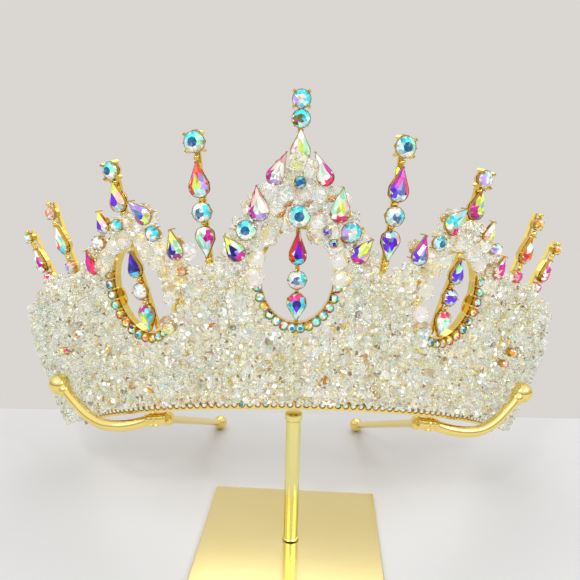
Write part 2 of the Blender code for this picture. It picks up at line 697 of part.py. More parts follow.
def build_stand():
    bpy.ops.mesh.primitive_cube_add(size=1)
    plate = bpy.context.object
    plate.name = plate.data.name = "stand_plate"
    for home in list(plate.users_collection):
        home.objects.unlink(plate)
    PART.objects.link(plate)
    plate.data.transform(Matrix.Diagonal((PLATE_SIDE, PLATE_SIDE, PLATE_THICK, 1)))
    plate.location = (0, 0, PLATE_THICK / 2)
    plate.rotation_euler = (0, 0, PLATE_TURN)
    bevel = plate.modifiers.new("Bevel", "BEVEL")
    bevel.width = PLATE_EDGE
    bevel.segments = 2
    plate.data.materials.append(material("pale_gold", PALE_GOLD))
    low, high, edge = CLEAR, POST_HEIGHT, POST_EDGE
    profile = [(0, high), (CAP_RADIUS - edge, high), (CAP_RADIUS, high - edge), (CAP_RADIUS, high - CAP_TALL),
               (POST_RADIUS, high - CAP_TALL - edge), (POST_RADIUS, low + FOOT_TALL),
               (FOOT_RADIUS, low + FOOT_TALL - edge), (FOOT_RADIUS, low), (0, low)]
    post = turned("stand_post", profile, ("post_gold", GOLD))
    post.location = (0, -POST_FRONT, PLATE_THICK)


build_stand()
build_frame()
for hand, label in ((-1, "left"), (1, "right")):
    build_field(hand, label)
    build_arm(hand, label)
build_stones()
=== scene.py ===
"""Looks of the crystal tiara on its post stand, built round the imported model."""
import json
from math import atan2, cos, pi, radians, sin, tan

import bpy
import numpy as np
from mathutils import Matrix, Vector
from mathutils.bvhtree import BVHTree


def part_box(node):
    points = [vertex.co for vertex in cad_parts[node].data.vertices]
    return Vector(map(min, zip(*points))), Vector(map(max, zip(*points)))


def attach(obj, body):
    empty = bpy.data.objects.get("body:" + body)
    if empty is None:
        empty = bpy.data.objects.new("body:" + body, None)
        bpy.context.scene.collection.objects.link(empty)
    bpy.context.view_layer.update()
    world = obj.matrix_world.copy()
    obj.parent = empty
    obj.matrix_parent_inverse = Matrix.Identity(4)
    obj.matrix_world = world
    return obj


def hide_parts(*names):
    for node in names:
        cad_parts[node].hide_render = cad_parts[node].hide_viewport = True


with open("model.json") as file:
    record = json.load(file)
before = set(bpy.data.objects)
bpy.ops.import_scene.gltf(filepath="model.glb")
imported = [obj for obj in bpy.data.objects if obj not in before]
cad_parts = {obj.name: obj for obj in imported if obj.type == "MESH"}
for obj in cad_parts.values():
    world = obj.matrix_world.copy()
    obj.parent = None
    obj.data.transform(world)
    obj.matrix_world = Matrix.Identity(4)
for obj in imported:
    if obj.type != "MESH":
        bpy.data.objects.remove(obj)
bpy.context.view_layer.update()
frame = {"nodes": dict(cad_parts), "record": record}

MM = 0.001

# The tiara's wall: a flared cone on a round rim that leans back
RIM_RADIUS = 83.0 * MM
FLARE = radians(27.2)
TIARA_HEIGHT = 85.3 * MM
LEAN_BACK = radians(30.0)
RIM_LIFT = 47.85 * MM       # rim's front edge above the table
HALF_SWEEP = 80.0           # degrees from the front to each end of the rim
SIDES = ((-1, "left"), (1, "right"))

# Oval windows: degrees from the front, height share, half width, half height, lean
OVAL_HALF_WIDTH, OVAL_HALF_HEIGHT = 11.2 * MM, 14.8 * MM
SETTING_WIDTH, SETTING_FRONT = 1.2 * MM, 1.8 * MM
OVALS = (
    (0.0, 0.449, OVAL_HALF_WIDTH, OVAL_HALF_HEIGHT, 0.0),
    (-28.8, 0.434, 0.95 * OVAL_HALF_WIDTH, OVAL_HALF_HEIGHT, radians(-6.0)),
    (28.8, 0.434, 0.95 * OVAL_HALF_WIDTH, OVAL_HALF_HEIGHT, radians(6.0)),
)

# Crystals of the field
BEAD = 1.5 * MM             # radius
BEAD_PITCH = 2.7 * MM
ROW_SHARE = 0.87            # distance of the rows, as a share of the pitch
FIRST_ROW = 1.8 * MM
BEAD_JITTER = 0.42 * MM
FIELD_MIDDLE = 2.6 * MM     # inside the field's solid, from the wall's inner face
SEAM = 1.1                  # degrees to which the halves' edges are looked up, so that rows run on across
SEAM_OVERLAP = 0.4 * SEAM
BEAD_LAYERS = ((2.4, 1.0, 0), (5.0, 1.05, 0))       # stand-off in mm, size share, least degrees
END_LAYERS = {-1: ((7.2, 1.0, 50), (9.2, 0.95, 62)), 1: ((7.0, 1.0, 56), (8.4, 0.9, 68))}
LARGE_BEAD = 3.0 * MM
LARGE_PROUD = 5.0 * MM
DOME_PROUD = 6.6 * MM
CROWN_PROUD, CROWN_FROM = 8.4 * MM, 62.5     # the dome's upper crystals lie over the stones' edges
CORNER = (76.5, 9.0 * MM)   # the rim's ends stay bare beyond these degrees, below this height

# Stones
STONE_THICK = 2.6 * MM
ROW_STONE = 1.42 * MM       # radius of the small stones in the rows
ROW_REACH = 1.3 * MM        # their middles beyond a window's opening
ROW_PROUD = 2.5 * MM
RIM_STONE = 1.0 * MM

# Rows of small stones: window, first and last degrees round it, count
WINDOW_ROWS = ((0, 192, 348, 14), (1, 150, 302, 13), (2, 30, -122, 13))

# What crystals keep clear of
ROW_EDGE, ROW_MARGIN = ROW_REACH + 0.7 * ROW_STONE, 4       # from a window's opening; degrees past a row
NEAR_SIDE, NEAR_DEPTH = 30 * MM, 20 * MM        # nothing farther from a window's middle touches it
COLLAR_AWAY = 0.7 * MM
LARGE_APART, LARGE_CLEAR, SMALL_CLEAR = 1.25 * LARGE_BEAD, 0.4 * LARGE_BEAD, LARGE_BEAD * 1.15
WINDOW_SHARE, STONE_SHARE = 0.55, 0.7   # of a small crystal's radius, from windows and from cut stones

# Camera of the photograph
CAMERA_PLACE = Vector((-5.25, -196.0, 131.3)) * MM
CAMERA_FORWARD = Vector((0.01553, 0.97494, -0.22195))
CAMERA_RIGHT = Vector((0.99967, -0.01055, 0.02357))
CAMERA_FOCAL = 650.0        # pixels, in a frame PHOTO_SIDE pixels wide
PHOTO_SIDE = 580.0
SENSOR = 36.0

RANDOM = np.random.default_rng(7)
TO_ROOM = Matrix.Translation((0, 0, RIM_LIFT)) @ Matrix.Rotation(-LEAN_BACK, 4, "X")

# Colours as a screen shows them
TINTS = {
    "aqua": (0.28, 0.86, 0.95), "teal": (0.10, 0.45, 0.62), "ice": (0.78, 0.94, 0.97),
    "mint": (0.70, 0.96, 0.82), "lime": (0.88, 0.96, 0.40), "rose": (0.95, 0.16, 0.42),
    "magenta": (0.78, 0.06, 0.60), "fire": (0.94, 0.20, 0.10), "orange": (0.96, 0.56, 0.22),
    "violet": (0.40, 0.12, 0.90), "navy": (0.08, 0.04, 0.52), "lavender": (0.74, 0.64, 0.96),
    "steel": (0.40, 0.50, 0.68), "olive": (0.44, 0.46, 0.22), "pearl": (0.96, 0.95, 0.92),
    "blush": (0.98, 0.76, 0.74), "blue": (0.12, 0.26, 0.88), "gold": (0.86, 0.66, 0.22),
    "brown": (0.52, 0.36, 0.14), "cream": (0.98, 0.95, 0.86), "white": (1.0, 1.0, 1.0),
}


def wall(degrees, height, proud=0.0):
    """Point on the flared wall, in the tiara's own frame."""
    turn = radians(degrees)
    radial = RIM_RADIUS + height * tan(FLARE) + proud * cos(FLARE)
    return Vector((radial * sin(turn), RIM_RADIUS - radial * cos(turn), height - proud * sin(FLARE)))


def wall_axes(degrees):
    turn = radians(degrees)
    side = Vector((cos(turn), sin(turn), 0))
    up = Vector((sin(FLARE) * sin(turn), -sin(FLARE) * cos(turn), cos(FLARE)))
    return side, up, side.cross(up)


def wall_frame(degrees, height, proud=0.0, tip=0.0):
    """Local axes at a wall point, in the room: x along the rim, y up the wall, z out, turned by tip."""
    basis = Matrix(wall_axes(degrees)).transposed().to_4x4()
    here = Matrix.Translation(wall(degrees, height, proud)) @ basis @ Matrix.Rotation(-tip, 4, "Z")
    return TO_ROOM @ here


def oval_frame(oval):
    return wall_frame(oval[0], oval[1] * TIARA_HEIGHT, 0.0, oval[4])


def wall_place(point):
    """Degrees and height of a room point above the wall's inner face."""
    own = TO_ROOM.inverted() @ Vector(point)
    degrees = np.degrees(atan2(own.x, RIM_RADIUS - own.y))
    radial = (own.x ** 2 + (RIM_RADIUS - own.y) ** 2) ** 0.5
    proud = (radial - RIM_RADIUS - own.z * tan(FLARE)) * cos(FLARE)
    return degrees, own.z + proud * sin(FLARE)


def linear(colour):
    return tuple(((c + 0.055) / 1.055) ** 2.4 if c > 0.04045 else c / 12.92 for c in colour)


# Materials


def new_material(name, **sockets):
    made = bpy.data.materials.new(name)
    made.use_nodes = True
    shader = made.node_tree.nodes["Principled BSDF"]
    for key, value in sockets.items():
        shader.inputs[key.replace("_", " ")].default_value = value
    return made, made.node_tree, shader


def noise_bump(tree, shader, scale, strength, distance=0.0002, detail=3.0):
    """Fine unevenness of a cast or polished surface."""
    place = tree.nodes.new("ShaderNodeTexCoord")
    noise = tree.nodes.new("ShaderNodeTexNoise")
    bump = tree.nodes.new("ShaderNodeBump")
    noise.inputs["Scale"].default_value = scale
    noise.inputs["Detail"].default_value = detail
    bump.inputs["Strength"].default_value = strength
    bump.inputs["Distance"].default_value = distance
    tree.links.new(place.outputs["Object"], noise.inputs["Vector"])
    tree.links.new(noise.outputs["Fac"], bump.inputs["Height"])
    tree.links.new(bump.outputs["Normal"], shader.inputs["Normal"])
    return noise


def ramp(tree, source, low, high):
    """Colour between two tints by a value."""
    made = tree.nodes.new("ShaderNodeValToRGB")
    made.color_ramp.elements[0].color = (*low, 1)
    made.color_ramp.elements[1].color = (*high, 1)
    tree.links.new(source, made.inputs["Fac"])
    return made


def gold_material(name, low, high, roughness, scale, strength):
    made, tree, shader = new_material(name, Metallic=1.0, Roughness=roughness)
    noise = noise_bump(tree, shader, scale, strength)
    tint = ramp(tree, noise.outputs["Fac"], linear(low), linear(high))
    tree.links.new(tint.outputs["Color"], shader.inputs["Base Color"])
    return made


def tinted_material(name, metallic, roughness, coat):
    """Cut glass whose facets carry their own colours and glow faintly in them, a painted glow."""
    made, tree, shader = new_material(name, Metallic=metallic, Roughness=roughness, IOR=1.6,
                                      Coat_Weight=coat, Coat_Roughness=0.02, Emission_Strength=0.16)
    # The emission strength of 0.16 above paints the glow, in each facet's own tint
    tint = tree.nodes.new("ShaderNodeAttribute")
    tint.attribute_name = "tint"
    tree.links.new(tint.outputs["Color"], shader.inputs["Base Color"])
    tree.links.new(tint.outputs["Color"], shader.inputs["Emission Color"])
    return made


def crystal_material(name, base, roughness, painted_glow):
    """Clear glass crystals that glow evenly, a painted glow; a facet's own shade makes some of them milky.
    """
    made, tree, shader = new_material(name, Roughness=roughness, IOR=1.5, Emission_Color=(*base, 1),
                                      Emission_Strength=painted_glow)
    shade = tree.nodes.new("ShaderNodeAttribute")
    shade.attribute_name = "tint"
    tree.links.new(shade.outputs["Color"], shader.inputs["Base Color"])
    tree.links.new(shade.outputs["Alpha"], shader.inputs["Transmission Weight"])
    made.diffuse_color = (*base, 1)
    return made


PAINTED_CRYSTAL_GLOW = 0.062          # painted glow: even emission standing in for light that goes round inside a crystal
GOLD = gold_material("cast_gold", (0.93, 0.77, 0.34), (1.0, 0.94, 0.58), 0.14, 700, 0.35)
TUBE_GOLD = gold_material("tube_gold", (0.98, 0.86, 0.50), (1.0, 0.92, 0.60), 0.07, 160, 0.03)
POST_GOLD = gold_material("post_gold", (0.93, 0.89, 0.54), (0.96, 0.93, 0.64), 0.09, 160, 0.03)
DARK_GOLD = gold_material("aged_gold", (0.52, 0.34, 0.10), (1.0, 0.84, 0.40), 0.18, 900, 0.4)
PLATE_GOLD = gold_material("plate_gold", (0.94, 0.87, 0.60), (0.97, 0.91, 0.68), 0.16, 40, 0.03)
STONES = tinted_material("rainbow_stone", 0.25, 0.06, 0.5)
CRYSTALS = crystal_material("clear_crystal", (0.86, 0.98, 1.0), 0.02, PAINTED_CRYSTAL_GLOW)
LARGE_CRYSTALS = crystal_material("large_clear_crystal", (0.90, 0.97, 1.0), 0.0, 1.1 * PAINTED_CRYSTAL_GLOW)
COPPER = gold_material("copper_gold", (0.74, 0.46, 0.14), (1.0, 0.74, 0.28), 0.2, 500, 0.2)
# Painted flash: white facets that glow by emission
PAINTED_FLASH, _, _ = new_material("painted_flash_facet", Base_Color=(1, 1, 1, 1), Roughness=0.05, Emission_Strength=0.45)

# Meshes

SHARP = radians(35)


def mesh_piece(name, points, faces, material, tints=None, smooth=False):
    """A piece from numpy points and a list of faces or face arrays; tints gives a colour for each face."""
    sizes = np.array([len(face) for face in faces], np.int32)
    mesh = bpy.data.meshes.new(name)
    mesh.vertices.add(len(points))
    mesh.vertices.foreach_set("co", np.asarray(points, np.float32).ravel())
    mesh.loops.add(int(sizes.sum()))
    mesh.loops.foreach_set("vertex_index", np.concatenate([np.asarray(f, np.int32) for f in faces]))
    mesh.polygons.add(len(sizes))
    mesh.polygons.foreach_set("loop_start", np.concatenate(([0], np.cumsum(sizes)[:-1])).astype(np.int32))
    mesh.polygons.foreach_set("use_smooth", np.full(len(sizes), smooth))
    mesh.update(calc_edges=True)
    if tints is not None:
        colour = mesh.attributes.new("tint", "FLOAT_COLOR", "CORNER")
        colour.data.foreach_set("color", np.repeat(np.asarray(tints, np.float32), sizes, axis=0).ravel())
    if smooth:
        mesh.set_sharp_from_angle(angle=SHARP)
    mesh.materials.append(material)
    made = bpy.data.objects.new(name, mesh)
    bpy.context.scene.collection.objects.link(made)
    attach(made, "root")
    return made


class Soup:
    """Many small shapes gathered for one mesh."""

    def __init__(self):
        self.points, self.faces, self.tints, self.count = [], [], [], 0

    def add(self, points, faces, tints=None):
        points = np.asarray(points, float)
        self.points.append(points)
        self.faces.extend([np.asarray(face) + self.count for face in faces])
        if tints is not None:
            self.tints.extend(tints)
        self.count += len(points)

    def piece(self, name, material, slot, smooth=False):
        tints = self.tints if self.tints else None
        return mesh_piece(name, np.concatenate(self.points), self.faces, material, tints, smooth)


def moved(matrix, points):
    """Points carried by a matrix."""
    m = np.array(matrix)
    return np.asarray(points, float) @ m[:3, :3].T + m[:3, 3]


def ring(radius, z, sides, shift=0.0):
    turns = (np.arange(sides) + shift) * 2 * pi / sides
    return np.stack([radius * np.cos(turns), radius * np.sin(turns), np.full(sides, z)], 1)


def sleeve(first, second, sides):
    """Quads between two rings of as many points, given by their first indices."""
    return [(first + i, first + (i + 1) % sides, second + (i + 1) % sides, second + i) for i in range(sides)]


def bead_shape(sides=8):
    """Faceted round crystal of radius 1: two tables and two rows of facets round a girdle."""
    points = np.concatenate([ring(0.50, -0.80, sides), ring(1.0, 0.0, sides, 0.5), ring(0.50, 0.80, sides)])
    faces = [tuple(range(sides))[::-1], tuple(range(2 * sides, 3 * sides))]
    for i in range(sides):
        j = (i + 1) % sides
        faces += [(i, j, sides + i), (j, sides + j, sides + i)]
        faces += [(2 * sides + j, 2 * sides + i, sides + i), (2 * sides + j, sides + i, sides + j)]
    return points, faces


def large_bead_shape(sides=10):
    """Faceted round crystal of radius 1 with six rows of facets."""
    rings = ((0.30, -0.95, 0.0), (0.66, -0.74, 0.5), (0.93, -0.36, 0.0), (1.0, 0.0, 0.5),
             (0.93, 0.36, 0.0), (0.66, 0.74, 0.5), (0.30, 0.95, 0.0))
    points = np.concatenate([ring(r, z, sides, shift) for r, z, shift in rings])
    faces = [tuple(range(sides))[::-1], tuple(range(6 * sides, 7 * sides))]
    for row, (_, _, shift) in enumerate(rings[:-1]):
        low, high = row * sides, (row + 1) * sides
        for i in range(sides):
            j = (i + 1) % sides
            if shift == 0.0:
                faces += [(low + i, low + j, high + i), (low + j, high + j, high + i)]
            else:
                faces += [(low + i, high + j, high + i), (low + i, low + j, high + j)]
    return points, faces


def random_turns(count):
    """Uniform random rotations, as an array of matrices."""
    q = RANDOM.normal(size=(count, 4))
    q /= np.linalg.norm(q, axis=1)[:, None]
    w, x, y, z = q.T
    rows = [[1 - 2 * (y * y + z * z), 2 * (x * y - z * w), 2 * (x * z + y * w)],
            [2 * (x * y + z * w), 1 - 2 * (x * x + z * z), 2 * (y * z - x * w)],
            [2 * (x * z - y * w), 2 * (y * z + x * w), 1 - 2 * (x * x + y * y)]]
    return np.moveaxis(np.array(rows), 2, 0)


BEAD_STRETCH = (0.86, 1.12)


def scatter(name, shape, centres, radii, material, shades):
    """One mesh of many copies of a shape, each with its own turn; shades gives each face its colour."""
    points, faces = shape
    count = len(centres)
    turns = random_turns(count)
    stretch = RANDOM.uniform(*BEAD_STRETCH, (count, 1, 3))
    placed = np.einsum("kij,knj->kni", turns, points[None] * stretch) * np.asarray(radii)[:, None, None]
    placed += np.asarray(centres)[:, None, :]
    all_faces = [[v + k * len(points) for v in face] for k in range(count) for face in faces]
    return mesh_piece(name, placed.reshape(-1, 3), all_faces, material, shades(count, len(faces)))


# Facets of a crystal: share of the facets, how clear, colour and how far it is lightened
# In both tables the gold and brown facets are painted reflections of the gold wire among the crystals
SMALL_FACETS = (
    (0.74, 1.00, "pearl", 0.9), (0.09, 0.60, "cream", 0.4), (0.05, 0.20, "white", 0.0),
    (0.025, 0.40, "gold", 0.1), (0.02, 0.30, "brown", 0.0), (0.02, 0.8, "aqua", 0.5),
    (0.015, 0.8, "lavender", 0.4), (0.02, 0.7, "blush", 0.3), (0.015, 0.8, "lime", 0.4),
)
LARGE_FACETS = (
    (0.72, 0.96, "white", 0.0), (0.09, 0.70, "pearl", 0.5), (0.10, 0.30, "white", 0.0),
    (0.01, 0.6, "gold", 0.3), (0.02, 0.8, "aqua", 0.5), (0.02, 0.8, "lavender", 0.4),
    (0.02, 0.8, "blush", 0.3),
)
WARM_GLASS = (0.97, 0.96, 0.88)


def shades_of(table):
    """Maker of facet colours: each crystal leans warm or cool, each facet is of a random kind."""
    def shades(crystals, per_crystal):
        count = crystals * per_crystal
        chance = np.array([row[0] for row in table])
        kind = RANDOM.choice(len(table), count, p=chance / chance.sum())
        colours = np.array([np.array(linear(TINTS[row[2]])) * (1 - row[3]) + row[3] for row in table])
        made = np.ones((count, 4))
        made[:, :3] = colours[kind]
        made[:, 3] = np.array([row[1] for row in table])[kind]
        warm = np.repeat(RANDOM.uniform(0.0, 1.0, crystals), per_crystal)[:, None]
        made[:, :3] *= (1 - warm) + warm * np.array(linear(WARM_GLASS))
        return made
    return shades


# Crystal field


def tree_of(*nodes):
    """The solids of some nodes, as one tree."""
    points, faces = [], []
    for node in nodes:
        mesh, start = frame["nodes"][node].data, len(points)
        points += [v.co.copy() for v in mesh.vertices]
        faces += [[start + v for v in p.vertices] for p in mesh.polygons]
    return BVHTree.FromPolygons(points, faces)


RAY, PAST_WALL = Vector((0.05, 0.11, 1.0)).normalized(), 1e-6


def inside(tree, point):
    """Whether a point lies in a closed solid, by the walls that a ray crosses."""
    crossed, start = 0, Vector(point)
    while True:
        hit = tree.ray_cast(start, RAY)[0]
        if hit is None:
            return crossed % 2 == 1
        crossed += 1
        start = hit + RAY * PAST_WALL


FIELD_TREES = {side: tree_of("crystal_field_" + word) for side, word in SIDES}
STONE_TREE = tree_of(*(node for node in frame["nodes"] if node.startswith("stone_")))


def near_window(point, radius):
    """Whether a crystal at a room point would stand in a window's opening, setting or row of stones."""
    for which, first, last, _ in WINDOW_ROWS:
        oval = OVALS[which]
        own = oval_frame(oval).inverted() @ point
        if abs(own.z) > NEAR_DEPTH or abs(own.x) > NEAR_SIDE:
            continue
        turn = np.degrees(atan2(own.y / oval[3], own.x / oval[2]))
        from_row = abs((turn - (first + last) / 2 + 180) % 360 - 180)
        edge = ROW_EDGE if from_row < abs(last - first) / 2 + ROW_MARGIN else SETTING_WIDTH
        reach_x, reach_y = oval[2] + edge + radius, oval[3] + edge + radius
        if (own.x / reach_x) ** 2 + (own.y / reach_y) ** 2 < 1:
            return True
    return False


def on_field(degrees, height, radius):
    """Whether the field's solid is at this place, clear of the windows."""
    middle = TO_ROOM @ wall(degrees, height, FIELD_MIDDLE)
    return inside(FIELD_TREES[1 if degrees > 0 else -1], middle) and not near_window(middle, radius)


def field_places(hand):
    """Centres and size shares of the small crystals: layers of rows inside the solid that they stand for."""
    centres, shares = [], []
    slant = TIARA_HEIGHT / cos(FLARE)
    for proud, share, start in BEAD_LAYERS + END_LAYERS[hand]:
        for row in range(int(slant / (ROW_SHARE * BEAD_PITCH))):
            height = row * ROW_SHARE * BEAD_PITCH * cos(FLARE) + FIRST_ROW
            step = np.degrees(BEAD_PITCH / (RIM_RADIUS + height * tan(FLARE)))
            for i in range(int(2 * HALF_SWEEP / step) + 1):
                degrees = -HALF_SWEEP + (i + 0.5 * (row % 2)) * step
                jitter = RANDOM.uniform(-1, 1, 3) * BEAD_JITTER
                outward = degrees * hand
                if outward < max(start, -SEAM_OVERLAP) or (outward > CORNER[0] and height < CORNER[1]):
                    continue
                behind = TO_ROOM @ wall(hand * max(outward, SEAM), height, FIELD_MIDDLE)
                if not inside(FIELD_TREES[hand], behind):
                    continue
                side, up, out = wall_axes(degrees)
                shift = side * jitter[0] + up * jitter[1] + out * jitter[2]
                centres.append(TO_ROOM @ (wall(degrees, height, proud * MM) + shift))
                shares.append(share)
    return centres, shares


def ring_places(oval, first, last, count):
    """Centres of large crystals round part of a window."""
    made = []
    for i in range(count):
        turn = radians(first + (last - first) * i / (count - 1))
        reach_x, reach_y = (half + SETTING_WIDTH + COLLAR_AWAY for half in oval[2:4])
        made.append(oval_frame(oval) @ Vector((reach_x * cos(turn), reach_y * sin(turn), LARGE_PROUD)))
    return made


# Large crystals of the dome over the middle window: degrees and height in mm
DOME = (
    (-2.4, 67.1), (-0.3, 69.1), (1.3, 67.6), (3.1, 66.7), (2.1, 64.0), (-2.4, 63.6), (-4.0, 61.2),
    (-2.1, 60.1), (0.3, 60.0), (2.9, 60.7), (4.1, 62.9), (-3.3, 57.3), (-3.3, 53.9), (2.7, 54.1),
    (-4.3, 49.7), (2.6, 50.1), (-4.5, 64.9), (1.8, 57.5), (-0.6, 56.9), (4.0, 57.9), (4.9, 51.4),
    (-0.2, 63.8), (-0.4, 53.8),
)
# Large crystals round each side window: degrees and height in mm
PEAKS = {
    -1: ((-27.1, 56.2), (-27.0, 53.4), (-25.4, 51.0), (-23.1, 51.9), (-25.0, 47.5), (-23.4, 44.6),
         (-22.2, 41.5), (-21.8, 37.5), (-22.2, 34.1), (-33.2, 49.1), (-31.1, 51.1), (-34.8, 46.0),
         (-17.3, 36.3), (-19.8, 39.8), (-17.5, 46.6), (-19.6, 43.9), (-20.0, 47.4), (-29.0, 52.3),
         (-25.1, 55.1), (-22.3, 48.3)),
    1: ((30.3, 50.7), (26.6, 52.5), (31.9, 54.4), (33.8, 51.5), (32.1, 48.4), (35.9, 43.0),
        (22.5, 37.7), (24.5, 47.0), (23.0, 44.2), (21.8, 40.4), (21.4, 35.1), (28.6, 54.3),
        (25.3, 49.7), (35.7, 47.9), (19.0, 38.7), (23.3, 50.1), (21.8, 47.3)),
}
# Large crystals that cover a window's setting: window, first and last degrees round it, count
COLLARS = ((0, 0, 76, 5), (0, 104, 180, 5), (1, -50, 96, 8), (2, 84, 230, 8))


def large_places(side):
    """Large crystals of one half, and of the dome on that side."""
    made = []
    for degrees, height in DOME:
        if degrees * side > 0:
            proud = CROWN_PROUD if height > CROWN_FROM else DOME_PROUD
            made.append(TO_ROOM @ wall(degrees, height * MM, proud))
    made += [TO_ROOM @ wall(a, h * MM, LARGE_PROUD) for a, h in PEAKS[side]]
    for which, first, last, count in COLLARS:
        ringed = ring_places(OVALS[which], first, last, count)
        made += [p for p in ringed if p.x * side > 0]
    apart = []
    for place in made:
        if all((place - other).length > LARGE_APART for other in apart):
            apart.append(place)
    return apart


def build_field(side, word):
    large = [p for p in large_places(side) if STONE_TREE.find_nearest(p)[3] > LARGE_CLEAR]
    scatter("large_crystals_" + word, large_bead_shape(), large,
            LARGE_BEAD * RANDOM.uniform(0.9, 1.06, len(large)), LARGE_CRYSTALS,
            shades_of(LARGE_FACETS))
    taken = np.array([list(p) for p in large])
    kept, radii = [], []
    for centre, share in zip(*field_places(side)):
        radius = BEAD * share * RANDOM.uniform(0.88, 1.1)
        if near_window(centre, WINDOW_SHARE * radius):
            continue
        if np.min(np.linalg.norm(taken - np.array(centre), axis=1)) < SMALL_CLEAR:
            continue
        if STONE_TREE.find_nearest(centre)[3] < STONE_SHARE * radius:
            continue
        kept.append(list(centre))
        radii.append(radius)
    beads = scatter("small_crystals_" + word, bead_shape(), kept, radii, CRYSTALS,
                    shades_of(SMALL_FACETS))
    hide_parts("crystal_field_" + word)


# Cut stones


def round_outline(width):
    return [(width / 2 * sin(2 * pi * i / 16), width / 2 * cos(2 * pi * i / 16)) for i in range(16)]


def pear_outline(width, length):
    """Sixteen points round a pear, clockwise from its tip at +Y."""
    radius, belly = width / 2, length / 2 - width / 2
    reach = length - radius
    lean = np.arccos(radius / reach)
    sweep = [lean + (2 * pi - 2 * lean) * i / 10 for i in range(11)]
    arc = [(radius * sin(a), radius * cos(a) - belly) for a in sweep]
    tip, (tx, ty) = (0.0, length / 2), arc[0]
    side = [(tip[0] + (tx - tip[0]) * t, tip[1] + (ty - tip[1]) * t) for t in (0.33, 0.66)]
    other = [(-x, y) for x, y in reversed(side)]
    return [tip] + side + arc + other


# A stone's cut: shares of the outline's reach and of the height at its back, girdle, stars and table
BACK_CUT, GIRDLE_CUT, STAR_CUT, TABLE_CUT = (0.80, 0.0), (1.0, 0.40), (0.78, 0.74), (0.48, 1.0)
STAR_GLINT, MAIN_GLINT, GIRDLE_GLINT = 0.04, 0.06, 0.10     # chances of a painted white glint
# Painted glint: the white that such a facet takes
PAINTED_GLINT = (0.95, 0.97, 1.0, 1.0)
# Painted sparkle: the factors that make a facet lighter or darker
PAINTED_SPARKLE_SHADES = (0.6, 0.85, 1.0, 1.0, 1.15)


def cut_stone(outline, core, thick, look):
    """Faceted crown over a flat back, with a colour for each face; hues says what a look names."""
    rim, heart = look
    edge, centre = np.array(outline), np.array(core)
    layers = []
    for ring_edge, (reach, rise) in ((edge, BACK_CUT), (edge, GIRDLE_CUT), (edge[1::2], STAR_CUT),
                                     (edge[0::2], TABLE_CUT)):
        flat = centre + (ring_edge - centre) * reach
        layers.append(np.column_stack([flat, np.full(len(flat), rise * thick)]))
    points = np.concatenate(layers + [np.array([[*centre, thick]])])
    girdle, star, table, middle = 16, 32, 40, 48
    faces = [tuple(range(16))]
    faces += [((i + 1) % 16, i, girdle + i, girdle + (i + 1) % 16) for i in range(16)]
    for i in range(8):
        j, k = (i + 1) % 8, (i - 1) % 8
        faces.append((middle, table + j, table + i))
        faces.append((table + i, table + j, star + i))
        faces.append((table + i, star + i, girdle + 2 * i, star + k))
        faces.append((star + i, girdle + 2 * i + 1, girdle + 2 * i))
        faces.append((star + i, girdle + 2 * j, girdle + 2 * i + 1))
    tints = [(*linear(TINTS["pearl"]), 1.0)] * 17
    # Painted highlight: from this turn two table facets take the core's second colour, and the star facet
    # opposite takes its last
    bright = int(RANDOM.integers(8))
    for i in range(8):
        way = int(round((pi / 2 - (i + 0.5) * pi / 4) / (pi / 2))) % 4
        tints.append(facet_tint(heart[1 % len(heart)] if (i - bright) % 8 < 2 else heart[0], 0.0))
        tints.append(facet_tint(heart[-1] if (i - bright) % 8 == 4 else rim[way], STAR_GLINT))
        tints.append(facet_tint(rim[way], MAIN_GLINT))
        tints.append(facet_tint(rim[way], GIRDLE_GLINT))
        tints.append(facet_tint(rim[(way + i % 2) % 4], GIRDLE_GLINT))
    return points, [face[::-1] for face in faces], tints


def facet_tint(name, chance):
    """A facet's colour, made lighter or darker at random as painted sparkle, or by this chance a painted
    white glint.
    """
    if RANDOM.uniform() < chance:
        return PAINTED_GLINT
    colour = np.array(linear(TINTS[name])) * RANDOM.choice(PAINTED_SPARKLE_SHADES)
    return (*np.clip(colour, 0.0, 1.0), 1.0)


def hues(rim, core):
    """A look: rim colours to the right, at the tip, to the left and at the belly; then the core's."""
    return tuple(rim.split()), tuple(core.split())


AQUA_ROUND = hues("mint aqua ice pearl", "teal steel aqua")
CYAN_TOP = hues("aqua aqua lavender ice", "cream ice aqua lavender")
OLIVE_ROUND = hues("aqua aqua olive ice", "olive aqua lavender magenta")
MINT_PEAR = hues("mint pearl blush lime", "lime pearl mint")
BLUE_SMALL = hues("teal aqua teal ice", "teal blue")
STRING_ROSE = hues("magenta rose fire aqua", "violet navy magenta")
STRING_NAVY = hues("aqua ice aqua rose", "navy violet")
FIRE_PEAR = hues("lavender fire fire ice", "lime mint lavender")
MAGENTA_PEAR = hues("rose magenta violet ice", "steel lavender violet")
VIOLET_PEAR = hues("blush mint violet ice", "violet steel violet")
LIME_PEAR = hues("blush lime violet magenta", "lime lavender mint")
PURPLE_PEAR = hues("blush lime orange ice", "violet violet magenta")
STEEL_PEAR = hues("lavender lavender magenta lime", "steel blue lavender")
RAINBOW_DROP = hues("aqua mint lime magenta", "lime mint lime")
RAINBOW_PEAR = hues("aqua lime magenta magenta", "lime mint lime aqua")
MINT_RED = hues("mint ice pearl rose", "mint ice mint")
CLEAR_ROUND = hues("pearl ice lavender pearl", "pearl ice lavender")
STEEL_ROUND = hues("lavender ice violet ice", "violet steel lavender")
RED_PEAR = hues("mint pearl rose aqua", "rose pearl mint")
ORANGE_PEAR = hues("orange mint fire blush", "orange fire pearl")
PINK_STONE = hues("rose magenta blush rose", "magenta rose")
YELLOW_STONE = hues("lime pearl orange lime", "lime orange")
GREEN_STONE = hues("mint aqua mint ice", "mint aqua")
STRIPE_PEAR = hues("pearl blush magenta lavender", "pearl mint pearl")
CREST_RIGHT = hues("magenta pearl pearl rose", "pearl mint ice")
